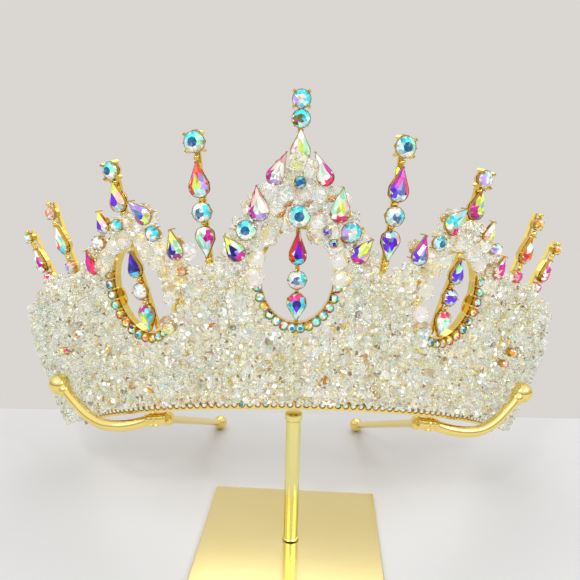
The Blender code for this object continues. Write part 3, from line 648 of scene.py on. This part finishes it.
PEACH_PEAR = hues("blush mint mint rose", "lime pearl blush")
NAVY_MINT = hues("mint lime navy magenta", "navy lavender mint")
MINT_MAGENTA = hues("magenta ice mint pearl", "mint magenta ice")
DEEP_NAVY = hues("navy violet navy aqua", "navy blue navy")
MINT_AQUA = hues("mint ice aqua lime", "aqua mint pearl")
GREY_ROUND = hues("aqua pearl ice pearl", "steel ice teal")
PEACH_ROUND = hues("blush orange lime pearl", "orange blush lime")
LILAC_ROUND = hues("blush lavender violet ice", "lavender steel blush")
PALE_RAINBOW = hues("lime aqua pearl mint", "pearl aqua blush")
DARK_RAINBOW = hues("aqua mint navy lime", "pearl lime")
RIM_LOOKS = (hues("cream pearl ice cream", "pearl cream"), hues("pearl mint cream pearl", "cream"))
ROW_LOOKS = (AQUA_ROUND, PALE_RAINBOW, YELLOW_STONE, PALE_RAINBOW, MINT_RED, DARK_RAINBOW, PEACH_ROUND,
             GREEN_STONE)

STONE_LOOKS = {
    "top": CYAN_TOP, "second": OLIVE_ROUND, "crown_pear": MINT_PEAR, "blue": BLUE_SMALL,
    "middle": AQUA_ROUND, "string_pear": STRING_ROSE, "string_round": GREY_ROUND,
    "string_drop": STRING_NAVY,
}
# Looks of the stones that come in pairs, on the left and on the right
PAIR_LOOKS = {
    "crest_pear": (STRIPE_PEAR, CREST_RIGHT), "arch_pear": (STRIPE_PEAR, PEACH_PEAR),
    "arch_round": (AQUA_ROUND, CYAN_TOP), "outer_pear": (NAVY_MINT, LIME_PEAR),
    "tall_top": (AQUA_ROUND, AQUA_ROUND), "tall_pear": (FIRE_PEAR, MAGENTA_PEAR),
    "tall_round": (GREY_ROUND, GREY_ROUND), "tall_drop": (MINT_MAGENTA, VIOLET_PEAR),
    "edge_pear": (NAVY_MINT, MAGENTA_PEAR), "peak_top": (AQUA_ROUND, CLEAR_ROUND),
    "peak_pear": (PURPLE_PEAR, RAINBOW_PEAR), "peak_side": (STEEL_PEAR, MINT_AQUA),
    "side_pear": (DEEP_NAVY, VIOLET_PEAR), "side_round": (CLEAR_ROUND, STEEL_ROUND),
    "side_drop": (RAINBOW_DROP, MINT_RED), "tine_pear": (RED_PEAR, ORANGE_PEAR),
    "end_pear": (MINT_MAGENTA, PINK_STONE),
}
for stone, pair in PAIR_LOOKS.items():
    STONE_LOOKS[stone + "_left"], STONE_LOOKS[stone + "_right"] = pair

PEAR_FROM = 1.12            # a stone is a pear from this length over width
CORE_LOW = 0.75             # share of the way from a pear's middle to its belly's, where its core is


def stone_place(node):
    """Frame, cut, width and length of a stone's solid, read from its corners."""
    points = np.array([v.co for v in node.data.vertices])
    degrees, _ = wall_place(points.mean(0))
    side, up, out = [np.array(TO_ROOM.to_3x3() @ axis) for axis in wall_axes(degrees)]
    flat = np.stack([points @ side, points @ up], 1)
    from_mean = flat - flat.mean(0)
    farthest = from_mean[np.argmax(np.linalg.norm(from_mean, axis=1))]
    for tip in (farthest / np.linalg.norm(farthest), np.array([0.0, 1.0])):
        across = np.array([tip[1], -tip[0]])
        along, wide = flat @ tip, flat @ across
        length, width = np.ptp(along), np.ptp(wide)
        middle = tip * (along.max() + along.min()) / 2 + across * (wide.max() + wide.min()) / 2
        cut = "pear" if length > PEAR_FROM * width else "round"
        if cut == "pear":
            break
    base = (points @ out).min()
    centre = side * middle[0] + up * middle[1] + out * base
    axes = np.stack([side * across[0] + up * across[1], side * tip[0] + up * tip[1], out], 1)
    matrix = Matrix(axes.tolist()).to_4x4()
    matrix.translation = Vector(centre)
    return matrix, cut, width, length


def outline_of(cut, width, length):
    """Outline of a stone and the point under its table's middle."""
    if cut == "round":
        return round_outline(width), (0.0, 0.0)
    return pear_outline(width, length), (0.0, -(length / 2 - width / 2) * CORE_LOW)


SETTINGS = Soup()
SNUG, BEZEL_WALL, BEZEL_LIP = 0.06 * MM, 0.14 * MM, 0.08 * MM
FOOT_SHARE, CUP_SHARE, CUP_DEEP = 0.36, 0.66, 0.7 * MM


def bezel(matrix, cut, width, length, depth):
    """Thin gold wall round a stone, from depth below its back to over its girdle."""
    inner, _ = outline_of(cut, width + SNUG, length + SNUG)
    outer, _ = outline_of(cut, width + 2 * BEZEL_WALL, length + 2.6 * BEZEL_WALL)
    foot, _ = outline_of(cut, width * FOOT_SHARE, length * FOOT_SHARE)
    cup, _ = outline_of(cut, width * CUP_SHARE, length * CUP_SHARE)
    top = GIRDLE_CUT[1] * STONE_THICK + BEZEL_LIP
    shallow = min(CUP_DEEP, depth * 0.8)
    layers = ((foot, -depth), (foot, -shallow - 0.1 * MM), (cup, -shallow), (outer, 0.12 * STONE_THICK),
              (outer, top), (inner, top), (inner, 0.0))
    points = np.concatenate([np.column_stack([np.array(xy), np.full(16, z)]) for xy, z in layers])
    faces = [tuple(range(16)), tuple(range(96, 112))[::-1]]
    for row in range(6):
        faces += sleeve(16 * row, 16 * row + 16, 16)
    SETTINGS.add(moved(matrix, points), [face[::-1] for face in faces])


CLAW, CLAW_SIDES = 0.22 * MM, 6


def prong(matrix, x, y, low, high):
    """Tapered claw whose round head leans over a stone's edge."""
    lean = np.array([x, y]) / max((x * x + y * y) ** 0.5, 1e-9)
    layers = ((1.0, low, 0.0), (0.85, high - 0.5 * MM, 0.0), (1.15, high - 0.2 * MM, -0.15 * MM),
              (0.9, high + 0.1 * MM, -0.35 * MM), (0.3, high + 0.28 * MM, -0.4 * MM))
    points = []
    for share, z, inward in layers:
        circle = ring(CLAW * share, z, CLAW_SIDES)
        circle[:, :2] += np.array([x, y]) + lean * inward
        points.append(circle)
    faces = [tuple(range(CLAW_SIDES))[::-1], tuple(range(4 * CLAW_SIDES, 5 * CLAW_SIDES))]
    for row in range(4):
        faces += sleeve(row * CLAW_SIDES, (row + 1) * CLAW_SIDES, CLAW_SIDES)
    SETTINGS.add(moved(matrix, np.concatenate(points)), faces)


def set_stone(soup, matrix, cut, width, length, look, thick=STONE_THICK, depth=0.9 * MM, turn=0.0,
              claws=True):
    """A cut stone in its bezel, with claws or without."""
    outline, core = outline_of(cut, width, length)
    points, faces, tints = cut_stone(outline, core, thick, look)
    soup.add(moved(matrix, points), faces, tints)
    bezel(matrix, cut, width, length, depth)
    if not claws:
        return
    low, high = -depth * 0.5, 0.75 * thick
    if cut == "round":
        reach = width / 2 + 0.12 * MM
        for i in range(4):
            prong(matrix, reach * cos(turn + i * pi / 2), reach * sin(turn + i * pi / 2), low, high)
    else:
        prong(matrix, 0.0, length / 2 + 0.1 * MM, low, high)
        for x in (-1, 1):
            prong(matrix, x * width * 0.44, -(length / 2 - width * 0.30), low, high * 0.8)


DIAGONAL = pi / 4
UPRIGHT_CLAWS = ("stone_tall_top", "stone_tall_round", "stone_string_round", "stone_side_round")
STONE_WIDER, STONE_LONGER = 1.05, 1.04      # cut stones reach past their solids' flat sides
CREST_FROM, CREST_DEPTH, SEAT_DEPTH = 4 * MM, 5.2 * MM, 0.5 * MM
SLOTS = {row["node"]: row["material_slot"] for row in frame["record"]["subparts"]}


def build_stones():
    for name, node in sorted(frame["nodes"].items()):
        if not name.startswith("stone_"):
            continue
        matrix, cut, width, length = stone_place(node)
        foot = wall(*wall_place(matrix.translation))
        stand_off = (TO_ROOM.inverted() @ matrix.translation - foot).length
        rim, core = STONE_LOOKS[name[len("stone_"):]]
        if matrix.col[1].z < 0:     # a stone with its tip down keeps its left and right
            rim = (rim[2], rim[1], rim[0], rim[3])
        soup = Soup()
        set_stone(soup, matrix, cut, width * STONE_WIDER, length * STONE_LONGER, (rim, core),
                  depth=CREST_DEPTH if stand_off > CREST_FROM else SEAT_DEPTH,
                  turn=0.0 if name.startswith(UPRIGHT_CLAWS) else DIAGONAL)
        made = soup.piece("cut_" + name, STONES, SLOTS[name])
        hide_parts(name)


# Lesser stones: degrees, height mm, width mm, a pear's length mm, tip degrees, stand-off mm, look
LESSER = (
    (-46.2, 67.0, 4.3, 0, 0, 1.2, PEACH_ROUND), (46.2, 67.0, 4.3, 0, 0, 1.2, YELLOW_STONE),
    (-45.6, 49.1, 4.7, 0, 0, 1.2, LILAC_ROUND), (45.6, 49.1, 4.7, 0, 0, 1.2, PINK_STONE),
    (-58.4, 65.5, 3.7, 0, 0, 1.2, GREEN_STONE), (58.4, 65.5, 3.7, 0, 0, 1.2, YELLOW_STONE),
    (-55.8, 50.1, 3.8, 0, 0, 1.2, PINK_STONE), (55.8, 50.1, 3.8, 0, 0, 1.2, PINK_STONE),
    (-31.9, 58.4, 4.2, 7.4, -4, 5.6, PURPLE_PEAR), (-28.4, 56.5, 3.9, 0, 0, 7.2, CYAN_TOP),
    (-33.6, 52.9, 4.6, 0, 0, 5.8, CLEAR_ROUND), (-36.6, 48.2, 3.8, 8.4, -8, 5.8, PINK_STONE),
    (-22.6, 52.6, 4.8, 0, 0, 6.6, CYAN_TOP), (23.9, 56.0, 4.0, 0, 0, 6.6, PINK_STONE),
    (22.2, 51.5, 4.8, 0, 0, 6.6, AQUA_ROUND), (31.6, 58.0, 4.0, 7.0, 6, 5.6, MINT_PEAR),
    (33.9, 53.6, 4.4, 0, 0, 5.8, CLEAR_ROUND), (36.4, 49.2, 3.8, 8.0, 8, 5.8, PINK_STONE),
    (4.2, 51.1, 2.6, 0, 0, 6.6, STEEL_ROUND), (5.2, 48.2, 2.5, 0, 0, 6.8, STRING_NAVY),
    (-53.8, 25.3, 3.0, 0, 0, 6.6, YELLOW_STONE), (-52.2, 25.0, 2.4, 0, 0, 6.6, PINK_STONE),
    (49.1, 26.2, 3.2, 0, 0, 6.6, YELLOW_STONE), (47.7, 22.0, 2.6, 0, 0, 6.6, PINK_STONE),
    (-18.6, 41.4, 2.6, 0, 0, 6.8, PEACH_ROUND),
)
LESSER_FROM, LESSER_DEPTH = 3.2, 0.8        # stand-off in mm that counts at most, and a cup's share of it


def build_lesser():
    soup = Soup()
    for degrees, height, width, length, tip, proud, look in LESSER:
        matrix = wall_frame(degrees, height * MM, proud * MM, radians(tip))
        cut = "pear" if length else "round"
        set_stone(soup, matrix, cut, width * MM, (length or width) * MM, look,
                  depth=min(proud, LESSER_FROM) * LESSER_DEPTH * MM, turn=DIAGONAL)
    soup.piece("lesser_stones", STONES, "stone_clear")


# Small gold tabs at the outer edge of the side windows
TAB_TALL, TAB_WIDE, TAB_THICK = 6.4 * MM, 2.6 * MM, 0.6 * MM
TAB_LIFT, TAB_IN_WALL, TAB_SIDES = 0.2 * MM, 0.3 * MM, 12


def build_tabs():
    soup = Soup()
    for oval in OVALS[1:]:
        side = 1 if oval[0] > 0 else -1
        points = []
        for z in (TAB_LIFT, TAB_LIFT + TAB_THICK):
            for i in range(TAB_SIDES):
                turn = 2 * pi * i / TAB_SIDES
                x = side * (oval[2] + TAB_IN_WALL - TAB_WIDE * (0.5 + 0.5 * cos(turn)))
                points.append((x, TAB_TALL / 2 * sin(turn), z))
        faces = [tuple(range(TAB_SIDES)), tuple(range(TAB_SIDES, 2 * TAB_SIDES))[::-1]]
        faces += [face[::-1] for face in sleeve(0, TAB_SIDES, TAB_SIDES)]
        soup.add(moved(oval_frame(oval), points), faces)
    soup.piece("window_tabs", GOLD, "gold")


ROW_THICK, RIM_THICK, RIM_DEPTH = 1.5 * MM, 1.3 * MM, 0.9 * MM
RIM_HEIGHT, RIM_PROUD = 2.0 * MM, 2.6 * MM
RIM_SWEEP, RIM_PITCH = HALF_SWEEP - 1.5, 2.42       # degrees; in radii of a stone
RIM_RAINBOW = 0.18          # chance of a coloured stone along the rim


def build_rows():
    soup = Soup()
    for which, first, last, count in WINDOW_ROWS:
        oval = OVALS[which]
        reach_x, reach_y = oval[2] + ROW_REACH, oval[3] + ROW_REACH
        for i in range(count):
            turn = radians(first + (last - first) * i / (count - 1))
            place = Matrix.Translation((reach_x * cos(turn), reach_y * sin(turn), ROW_PROUD))
            matrix = oval_frame(oval) @ place @ Matrix.Rotation(turn, 4, "Z")
            look = ROW_LOOKS[int(RANDOM.integers(len(ROW_LOOKS)))]
            set_stone(soup, matrix, "round", 2 * ROW_STONE, 2 * ROW_STONE, look, thick=ROW_THICK,
                      depth=ROW_PROUD - SETTING_FRONT, claws=False)
    count = int(2 * RIM_SWEEP / np.degrees(RIM_PITCH * RIM_STONE / RIM_RADIUS))
    for i in range(count + 1):
        matrix = wall_frame(-RIM_SWEEP + 2 * RIM_SWEEP * i / count, RIM_HEIGHT, RIM_PROUD)
        look = ROW_LOOKS[i % len(ROW_LOOKS)] if RANDOM.uniform() < RIM_RAINBOW else RIM_LOOKS[i % 2]
        set_stone(soup, matrix, "round", 2 * RIM_STONE, 2 * RIM_STONE, look, thick=RIM_THICK,
                  depth=RIM_DEPTH, claws=False)
    soup.piece("row_stones", STONES, "stone_clear")


# Wires


def tube(soup, path, radius, sides=8, closed=False):
    """Round wire through points, each a vector; radius is a number or one for each point."""
    path = [Vector(p) for p in path]
    radii = np.broadcast_to(radius, len(path))
    normal, points = None, []
    for i, here in enumerate(path):
        before = path[i - 1] if (i or closed) else here
        after = path[(i + 1) % len(path)] if (i < len(path) - 1 or closed) else here
        along = (after - before).normalized()
        if normal is None:
            normal = along.orthogonal().normalized()
        normal = (normal - along * normal.dot(along)).normalized()
        across = along.cross(normal)
        for j in range(sides):
            turn = 2 * pi * j / sides
            points.append(here + (normal * cos(turn) + across * sin(turn)) * radii[i])
    faces = []
    for i in range(len(path) if closed else len(path) - 1):
        faces += sleeve(i * sides, ((i + 1) % len(path)) * sides, sides)
    if not closed:
        faces += [tuple(range(sides))[::-1], tuple(range((len(path) - 1) * sides, len(path) * sides))]
    soup.add([list(p) for p in points], faces)


BINDING_TRIES, BINDING_RADIUS = 1500, 0.16 * MM


def build_binding():
    """Thin gold wire between the crystals."""
    soup = Soup()
    for _ in range(BINDING_TRIES):
        degrees = RANDOM.uniform(-79, 79)
        height = RANDOM.uniform(4, 68) * MM
        if not on_field(degrees, height, 0.5 * MM):
            continue
        side, up, out = wall_axes(degrees)
        turn = RANDOM.uniform(0, pi)
        way = side * cos(turn) + up * sin(turn)
        start = wall(degrees, height, RANDOM.uniform(4.4, 6.3) * MM)
        reach = RANDOM.uniform(0.8, 1.7) * MM
        path = [start - way * reach - out * 0.8 * MM, start - way * reach * 0.4, start + way * reach * 0.4,
                start + way * reach - out * 0.8 * MM]
        tube(soup, [TO_ROOM @ p for p in path], BINDING_RADIUS, sides=4)
    soup.piece("binding_wire", GOLD, "gold", smooth=True)


def front_places(count, low, high):
    """Random points on the front of the crystals, as degrees and height."""
    made = []
    while len(made) < count:
        degrees, height = RANDOM.uniform(-78, 78), RANDOM.uniform(low, high)
        if on_field(degrees, height, 1.5 * MM):
            made.append((degrees, height))
    return made


# The second count is of glowing white crystals that paint sparkles
FLECKS, PAINTED_SPARKLES = 90, 120
FLECK_PROUD, PAINTED_SPARKLE_PROUD = 5.9 * MM, 6.2 * MM


def build_flecks():
    """Ends and loops of thicker wire, and white crystals that glow as painted flashes, among the small
    crystals.
    """
    bright, dark = Soup(), Soup()
    for i, (degrees, height) in enumerate(front_places(FLECKS, 4 * MM, 62 * MM)):
        side, up, out = wall_axes(degrees)
        turn = RANDOM.uniform(0, 2 * pi)
        way, across = side * cos(turn) + up * sin(turn), up * cos(turn) - side * sin(turn)
        start = wall(degrees, height, FLECK_PROUD)
        reach = RANDOM.uniform(0.7, 1.3) * MM
        path = [start - way * reach - out * MM, start - way * 0.6 * reach + across * 0.5 * reach,
                start + way * 0.3 * reach + across * 0.4 * reach + out * 0.3 * MM,
                start + way * reach - across * 0.4 * reach - out * MM]
        tube(bright if i % 3 else dark, [TO_ROOM @ p for p in path], RANDOM.uniform(0.26, 0.5) * MM, sides=6)
    bright.piece("wire_flecks", GOLD, "gold", smooth=True)
    dark.piece("dark_wire_flecks", COPPER, "gold", smooth=True)
    places = front_places(PAINTED_SPARKLES, 4 * MM, 66 * MM)
    centres = [list(TO_ROOM @ wall(a, h, PAINTED_SPARKLE_PROUD)) for a, h in places]
    scatter("painted_flash_crystals", bead_shape(6), centres, RANDOM.uniform(0.4, 0.8, len(centres)) * MM, PAINTED_FLASH,
            shades_of(((1.0, 0.0, "white", 0.0),)))


# Gold links on the bars between the stones: degrees, height share, radius in mm
LINKS = (
    (46.4, 0.822, 0.95), (46.3, 0.748, 1.15), (46.2, 0.735, 0.9), (46.1, 0.628, 1.0), (46.0, 0.612, 1.0),
    (46.0, 0.545, 1.0), (59.0, 0.795, 0.9), (58.2, 0.738, 1.0), (57.8, 0.722, 0.9), (55.5, 0.560, 0.9),
    (15.1, 0.838, 0.8), (15.1, 0.705, 0.8), (15.1, 0.630, 0.8), (15.1, 0.508, 0.9), (15.1, 0.492, 0.9),
    (29.5, 0.806, 0.8), (29.4, 0.700, 0.8), (29.3, 0.470, 0.75), (29.2, 0.392, 0.75),
)
# Beads of one link: places across and up in its radii, and size share
LINK_BEADS = ((0.0, 0.0, 1.0), (0.75, 0.35, 0.55), (-0.75, -0.3, 0.6), (0.3, -0.8, 0.5))
LINK_PROUD, LINK_LIFT = 1.3 * MM, 0.2 * MM
# Darker links between the dome's crystals: degrees, height in mm; then their beads in mm
DOME_LINKS = ((-5.2, 59.6), (-1.6, 58.4), (1.2, 58.2), (4.3, 59.6), (-6.3, 55.6), (6.6, 55.4),
              (-2.7, 55.4), (2.8, 56.2))
DOME_LINK_BEADS = ((0.0, 0.0, 1.1), (0.9, 0.7, 0.7), (-0.8, -0.6, 0.75))
DOME_LINK_PROUD = 7.0 * MM


def build_links():
    soup, dome = Soup(), Soup()
    points, faces = large_bead_shape(8)
    for side, _ in SIDES:
        for degrees, share, radius in LINKS:
            place = wall_frame(side * degrees, share * TIARA_HEIGHT, LINK_PROUD)
            for x, y, size in LINK_BEADS:
                shift = Matrix.Translation((x * radius * MM, y * radius * MM, LINK_LIFT))
                soup.add(moved(place @ shift, points * radius * size * MM), faces)
    for degrees, height in DOME_LINKS:
        place = wall_frame(degrees, height * MM, DOME_LINK_PROUD)
        for x, y, size in DOME_LINK_BEADS:
            dome.add(moved(place @ Matrix.Translation((x * MM, y * MM, 0)), points * size * MM), faces)
    soup.piece("gold_links", GOLD, "gold", smooth=True)
    dome.piece("dome_links", COPPER, "gold", smooth=True)


# Ribs with wire wound round them: degrees, height share of the wire's upper end
WOUND = ((15.1, 0.46), (21.4, 0.52), (37.2, 0.55), (46.0, 0.52), (54.5, 0.51), (63.0, 0.47), (71.5, 0.40))
WOUND_FOOT = 0.05           # height share of its lower end
RIB_WIDTH, RIB_BACK = 1.7 * MM, 1.1 * MM
WOUND_PITCH, WOUND_RADIUS, WOUND_LOOSE = 2.3 * MM, 0.17 * MM, 0.15 * MM


def build_wound():
    """Turns of wire round the ribs that hold the crystals on."""
    soup = Soup()
    for side, _ in SIDES:
        for degrees, head in WOUND:
            length = (head - WOUND_FOOT) * TIARA_HEIGHT / cos(FLARE)
            for i in range(int(length / WOUND_PITCH)):
                t = (i + RANDOM.uniform(0.2, 0.8)) * WOUND_PITCH / length
                here = wall_frame(side * degrees, (WOUND_FOOT + (head - WOUND_FOOT) * t) * TIARA_HEIGHT)
                x, low, high = RIB_WIDTH / 2 + WOUND_LOOSE, -RIB_BACK - WOUND_LOOSE, 0.4 * MM
                tip = RANDOM.uniform(-0.5, 0.5) * MM
                corners = ((-x, -tip, high), (-x, -tip, low), (x, tip, low), (x, tip, high))
                tube(soup, [here @ Vector(p) for p in corners], WOUND_RADIUS, sides=5, closed=True)
    soup.piece("wound_wire", GOLD, "gold", smooth=True)


# Arms and stand

TUBE_RADIUS, ROD_RADIUS, BARREL_RADIUS = 1.95 * MM, 1.45 * MM, 2.2 * MM
FRONT_BALL, BACK_BALL = 4.0 * MM, 3.15 * MM
BARREL_FROM, BARREL_TO = 31.0, 38.6
CLEAR = 0.3 * MM
TUBE_PATH = ((38.5, -0.036, 0.006), (41.5, -0.036, 0.036), (44.5, -0.026, 0.070), (48.0, -0.003, 0.098),
             (51.5, 0.042, 0.113), (54.6, 0.100, 0.119), (57.0, 0.152, 0.123))
FRONT_BALL_AT = (58.7, 0.184, 0.126)
BACK_BALL_AT = Vector((31.8, 86.0, 3.15)) * MM


def smooth_path(points, steps=6):
    """Points of a Catmull-Rom curve through the given ones."""
    padded = [points[0]] + list(points) + [points[-1]]
    made = []
    for p0, p1, p2, p3 in zip(padded, padded[1:], padded[2:], padded[3:]):
        for i in range(steps):
            t = i / steps
            made.append(0.5 * ((2 * p1) + (p2 - p0) * t + (2 * p0 - 5 * p1 + 4 * p2 - p3) * t * t
                               + (3 * p1 - p0 - 3 * p2 + p3) * t ** 3))
    return made + [points[-1]]


def bulge(soup, start, end, profile, sides=28):
    """Turned shape along a line; profile gives places along it as shares and radii."""
    tube(soup, [start.lerp(end, t) for t, _ in profile], [r for _, r in profile], sides)


def ball(soup, centre, radius, axis, rows=18, sides=32):
    turns = [pi * (i + 0.5) / rows for i in range(rows)]
    start, end = centre - axis * radius, centre + axis * radius
    bulge(soup, start, end, [((1 - cos(a)) / 2, radius * sin(a)) for a in turns], sides)


def build_arm(side, word):
    soup = Soup()
    low = -(BARREL_RADIUS + CLEAR) / cos(FLARE)
    start, end = (TO_ROOM @ wall(side * a, low) for a in (BARREL_FROM, BARREL_TO))
    along = (end - start).normalized()
    r = BARREL_RADIUS
    barrel = ((0.0, 0.55), (0.03, 0.85), (0.10, 1.0), (0.45, 1.0), (0.47, 1.13), (0.53, 1.13), (0.55, 1.0),
              (0.66, 1.0), (0.68, 1.1), (0.73, 1.1), (0.75, 0.98), (0.95, 0.95), (1.0, 0.8))
    bulge(soup, start, end, [(t, share * r) for t, share in barrel])
    bulge(soup, start - along * 0.5 * MM, start + along * 1.3 * MM,
          [(0.0, 0.7 * r), (0.15, 1.08 * r), (0.5, 1.14 * r), (0.85, 1.08 * r), (1.0, 0.9 * r)])
    path = [end - along * BARREL_RADIUS]
    path += [TO_ROOM @ wall(side * a, h * TIARA_HEIGHT, p * TIARA_HEIGHT) for a, h, p in TUBE_PATH]
    degrees, rise, proud = FRONT_BALL_AT
    tip = TO_ROOM @ wall(side * degrees, rise * TIARA_HEIGHT, proud * TIARA_HEIGHT)
    path.append(tip)
    tube(soup, smooth_path(path), TUBE_RADIUS, 28)
    back = Vector((side * BACK_BALL_AT.x, BACK_BALL_AT.y, BACK_BALL_AT.z))
    tube(soup, [start + along * r, back], ROD_RADIUS, 24)
    neck = (path[-2] - tip).normalized()
    ball(soup, tip, FRONT_BALL, neck)
    bulge(soup, tip, tip + neck * 1.4 * FRONT_BALL, [(0.6, 1.35 * TUBE_RADIUS), (0.85, 1.3 * TUBE_RADIUS),
                                                     (0.93, 1.2 * TUBE_RADIUS), (1.0, TUBE_RADIUS)])
    neck = (start - back).normalized()
    ball(soup, back, BACK_BALL, neck)
    bulge(soup, back, back + neck * 1.4 * BACK_BALL, [(0.6, 1.35 * ROD_RADIUS), (0.9, 1.3 * ROD_RADIUS),
                                                      (1.0, ROD_RADIUS)])
    made = soup.piece("polished_arm_" + word, TUBE_GOLD, "gold", smooth=True)
    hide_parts("arm_" + word)


POST_RADIUS, CAP_RADIUS, CAP_TALL = 2.4 * MM, 2.8 * MM, 2.3 * MM
FOOT_RADIUS, FOOT_TALL = 2.75 * MM, 0.8 * MM


def build_stand():
    low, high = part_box("stand_post")
    x, y = (low.x + high.x) / 2, (low.y + high.y) / 2
    foot, top = low.z, high.z
    cap = top - CAP_TALL
    profile = [(foot, FOOT_RADIUS * 0.9), (foot + 0.15 * MM, FOOT_RADIUS),
               (foot + FOOT_TALL * 0.7, FOOT_RADIUS), (foot + FOOT_TALL, FOOT_RADIUS * 0.93),
               (foot + FOOT_TALL * 1.05, POST_RADIUS), (cap - 0.3 * MM, POST_RADIUS),
               (cap - 0.25 * MM, POST_RADIUS * 0.9), (cap, POST_RADIUS * 0.9),
               (cap + 0.05 * MM, CAP_RADIUS * 0.95), (cap + 0.3 * MM, CAP_RADIUS),
               (top - 0.5 * MM, CAP_RADIUS), (top - 0.12 * MM, CAP_RADIUS * 0.95), (top, CAP_RADIUS * 0.8)]
    soup = Soup()
    tube(soup, [Vector((x, y, z)) for z, _ in profile], [r for _, r in profile], 48)
    made = soup.piece("turned_post", POST_GOLD, "post_gold", smooth=True)
    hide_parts("stand_post")
    for node, material in (("stand_plate", PLATE_GOLD), ("tiara_frame", GOLD)):
        for slot in frame["nodes"][node].material_slots:
            slot.material = material


# Stage

FLOOR_WIDE, FLOOR_DEEP, FLOOR_BACK = 2.4, 0.9, 0.105        # its rear edge is behind the tiara
FLOOR_TOP = -0.0001
FLOOR_LOW, FLOOR_HIGH = (0.63, 0.64, 0.66), (0.73, 0.735, 0.75)
LIGHT_BOUNCES = 16          # light goes through many crystals


def build_stage():
    bpy.ops.mesh.primitive_plane_add(size=1)
    floor = bpy.context.object
    floor.name = "floor"
    floor.scale = (FLOOR_WIDE, FLOOR_DEEP, 1)
    floor.location = (0, FLOOR_BACK - FLOOR_DEEP / 2, FLOOR_TOP)
    made, tree, shader = new_material("pale_floor", Roughness=0.42)
    noise = noise_bump(tree, shader, 6.0, 0.02)
    tint = ramp(tree, noise.outputs["Fac"], FLOOR_LOW, FLOOR_HIGH)
    tree.links.new(tint.outputs["Color"], shader.inputs["Base Color"])
    floor.data.materials.append(made)
    build_world()
    bpy.context.scene.view_settings.view_transform = "Standard"
    bpy.context.scene.cycles.max_bounces = LIGHT_BOUNCES
    bpy.context.scene.cycles.transmission_bounces = LIGHT_BOUNCES


BACKDROP = (0.855, 0.838, 0.822)
ROOM_LOW, ROOM_HIGH, ROOM_SPAN = (0.40, 0.37, 0.33), (1.0, 0.99, 0.97), (0.05, 0.45)
BACK_SPAN = (0.15, 0.45)    # how far back the room turns into the backdrop


def build_world():
    """Even pale backdrop behind the tiara; before it a room that is lighter above than at eye level."""
    world = bpy.data.worlds.new("studio")
    world.use_nodes = True
    tree = world.node_tree
    place = tree.nodes.new("ShaderNodeTexCoord")
    parts = tree.nodes.new("ShaderNodeSeparateXYZ")
    tree.links.new(place.outputs["Generated"], parts.inputs["Vector"])
    room = ramp(tree, parts.outputs["Z"], ROOM_LOW, ROOM_HIGH)
    back = ramp(tree, parts.outputs["Y"], (0, 0, 0), (1, 1, 1))
    for made, span in ((room, ROOM_SPAN), (back, BACK_SPAN)):
        made.color_ramp.elements[0].position, made.color_ramp.elements[1].position = span
    mix = tree.nodes.new("ShaderNodeMixRGB")
    mix.inputs["Color2"].default_value = (*linear(BACKDROP), 1)
    tree.links.new(back.outputs["Color"], mix.inputs["Fac"])
    tree.links.new(room.outputs["Color"], mix.inputs["Color1"])
    tree.links.new(mix.outputs["Color"], tree.nodes["Background"].inputs["Color"])
    bpy.context.scene.world = world


# Lights: place, aim, side in metres, watts, colour
LIGHTS = (
    ((-0.45, -0.55, 0.75), (0, 0.0, 0.08), 0.50, 1.6, (1.0, 0.98, 0.95)),
    ((0.55, -0.35, 0.55), (0, 0.0, 0.08), 0.35, 0.8, (0.95, 0.98, 1.0)),
    ((0.05, 0.45, 0.60), (0, 0.03, 0.09), 0.40, 0.7, (1.0, 0.96, 0.90)),
    ((-0.12, -0.30, 0.42), (0, 0.0, 0.09), 0.05, 0.30, (1.0, 1.0, 1.0)),
    ((0.20, -0.30, 0.30), (0, 0.0, 0.09), 0.04, 0.20, (1.0, 1.0, 1.0)),
)


def build_lights():
    for i, (place, aim, side, watts, colour) in enumerate(LIGHTS):
        data = bpy.data.lights.new("light_%d" % i, "AREA")
        data.energy, data.size, data.color = watts, side, colour
        made = bpy.data.objects.new("light_%d" % i, data)
        made.location = place
        made.rotation_euler = (Vector(aim) - Vector(place)).to_track_quat("-Z", "Y").to_euler()
        bpy.context.scene.collection.objects.link(made)


def build_camera():
    data = bpy.data.cameras.new("photo_camera")
    data.sensor_width = SENSOR
    data.lens = SENSOR * CAMERA_FOCAL / PHOTO_SIDE
    data.clip_start = 0.01
    made = bpy.data.objects.new("photo_camera", data)
    forward = CAMERA_FORWARD.normalized()
    right = (CAMERA_RIGHT - forward * CAMERA_RIGHT.dot(forward)).normalized()
    up = right.cross(forward)
    turn = Matrix((right, up, -forward)).transposed()
    made.matrix_world = Matrix.Translation(CAMERA_PLACE) @ turn.to_4x4()
    bpy.context.scene.collection.objects.link(made)
    bpy.context.scene.camera = made


build_camera()
build_stage()
build_lights()
build_stand()
for hand, label in SIDES:
    build_field(hand, label)
    build_arm(hand, label)
build_stones()
build_lesser()
build_rows()
build_tabs()
build_binding()
build_flecks()
build_links()
build_wound()
SETTINGS.piece("stone_settings", DARK_GOLD, "gold")
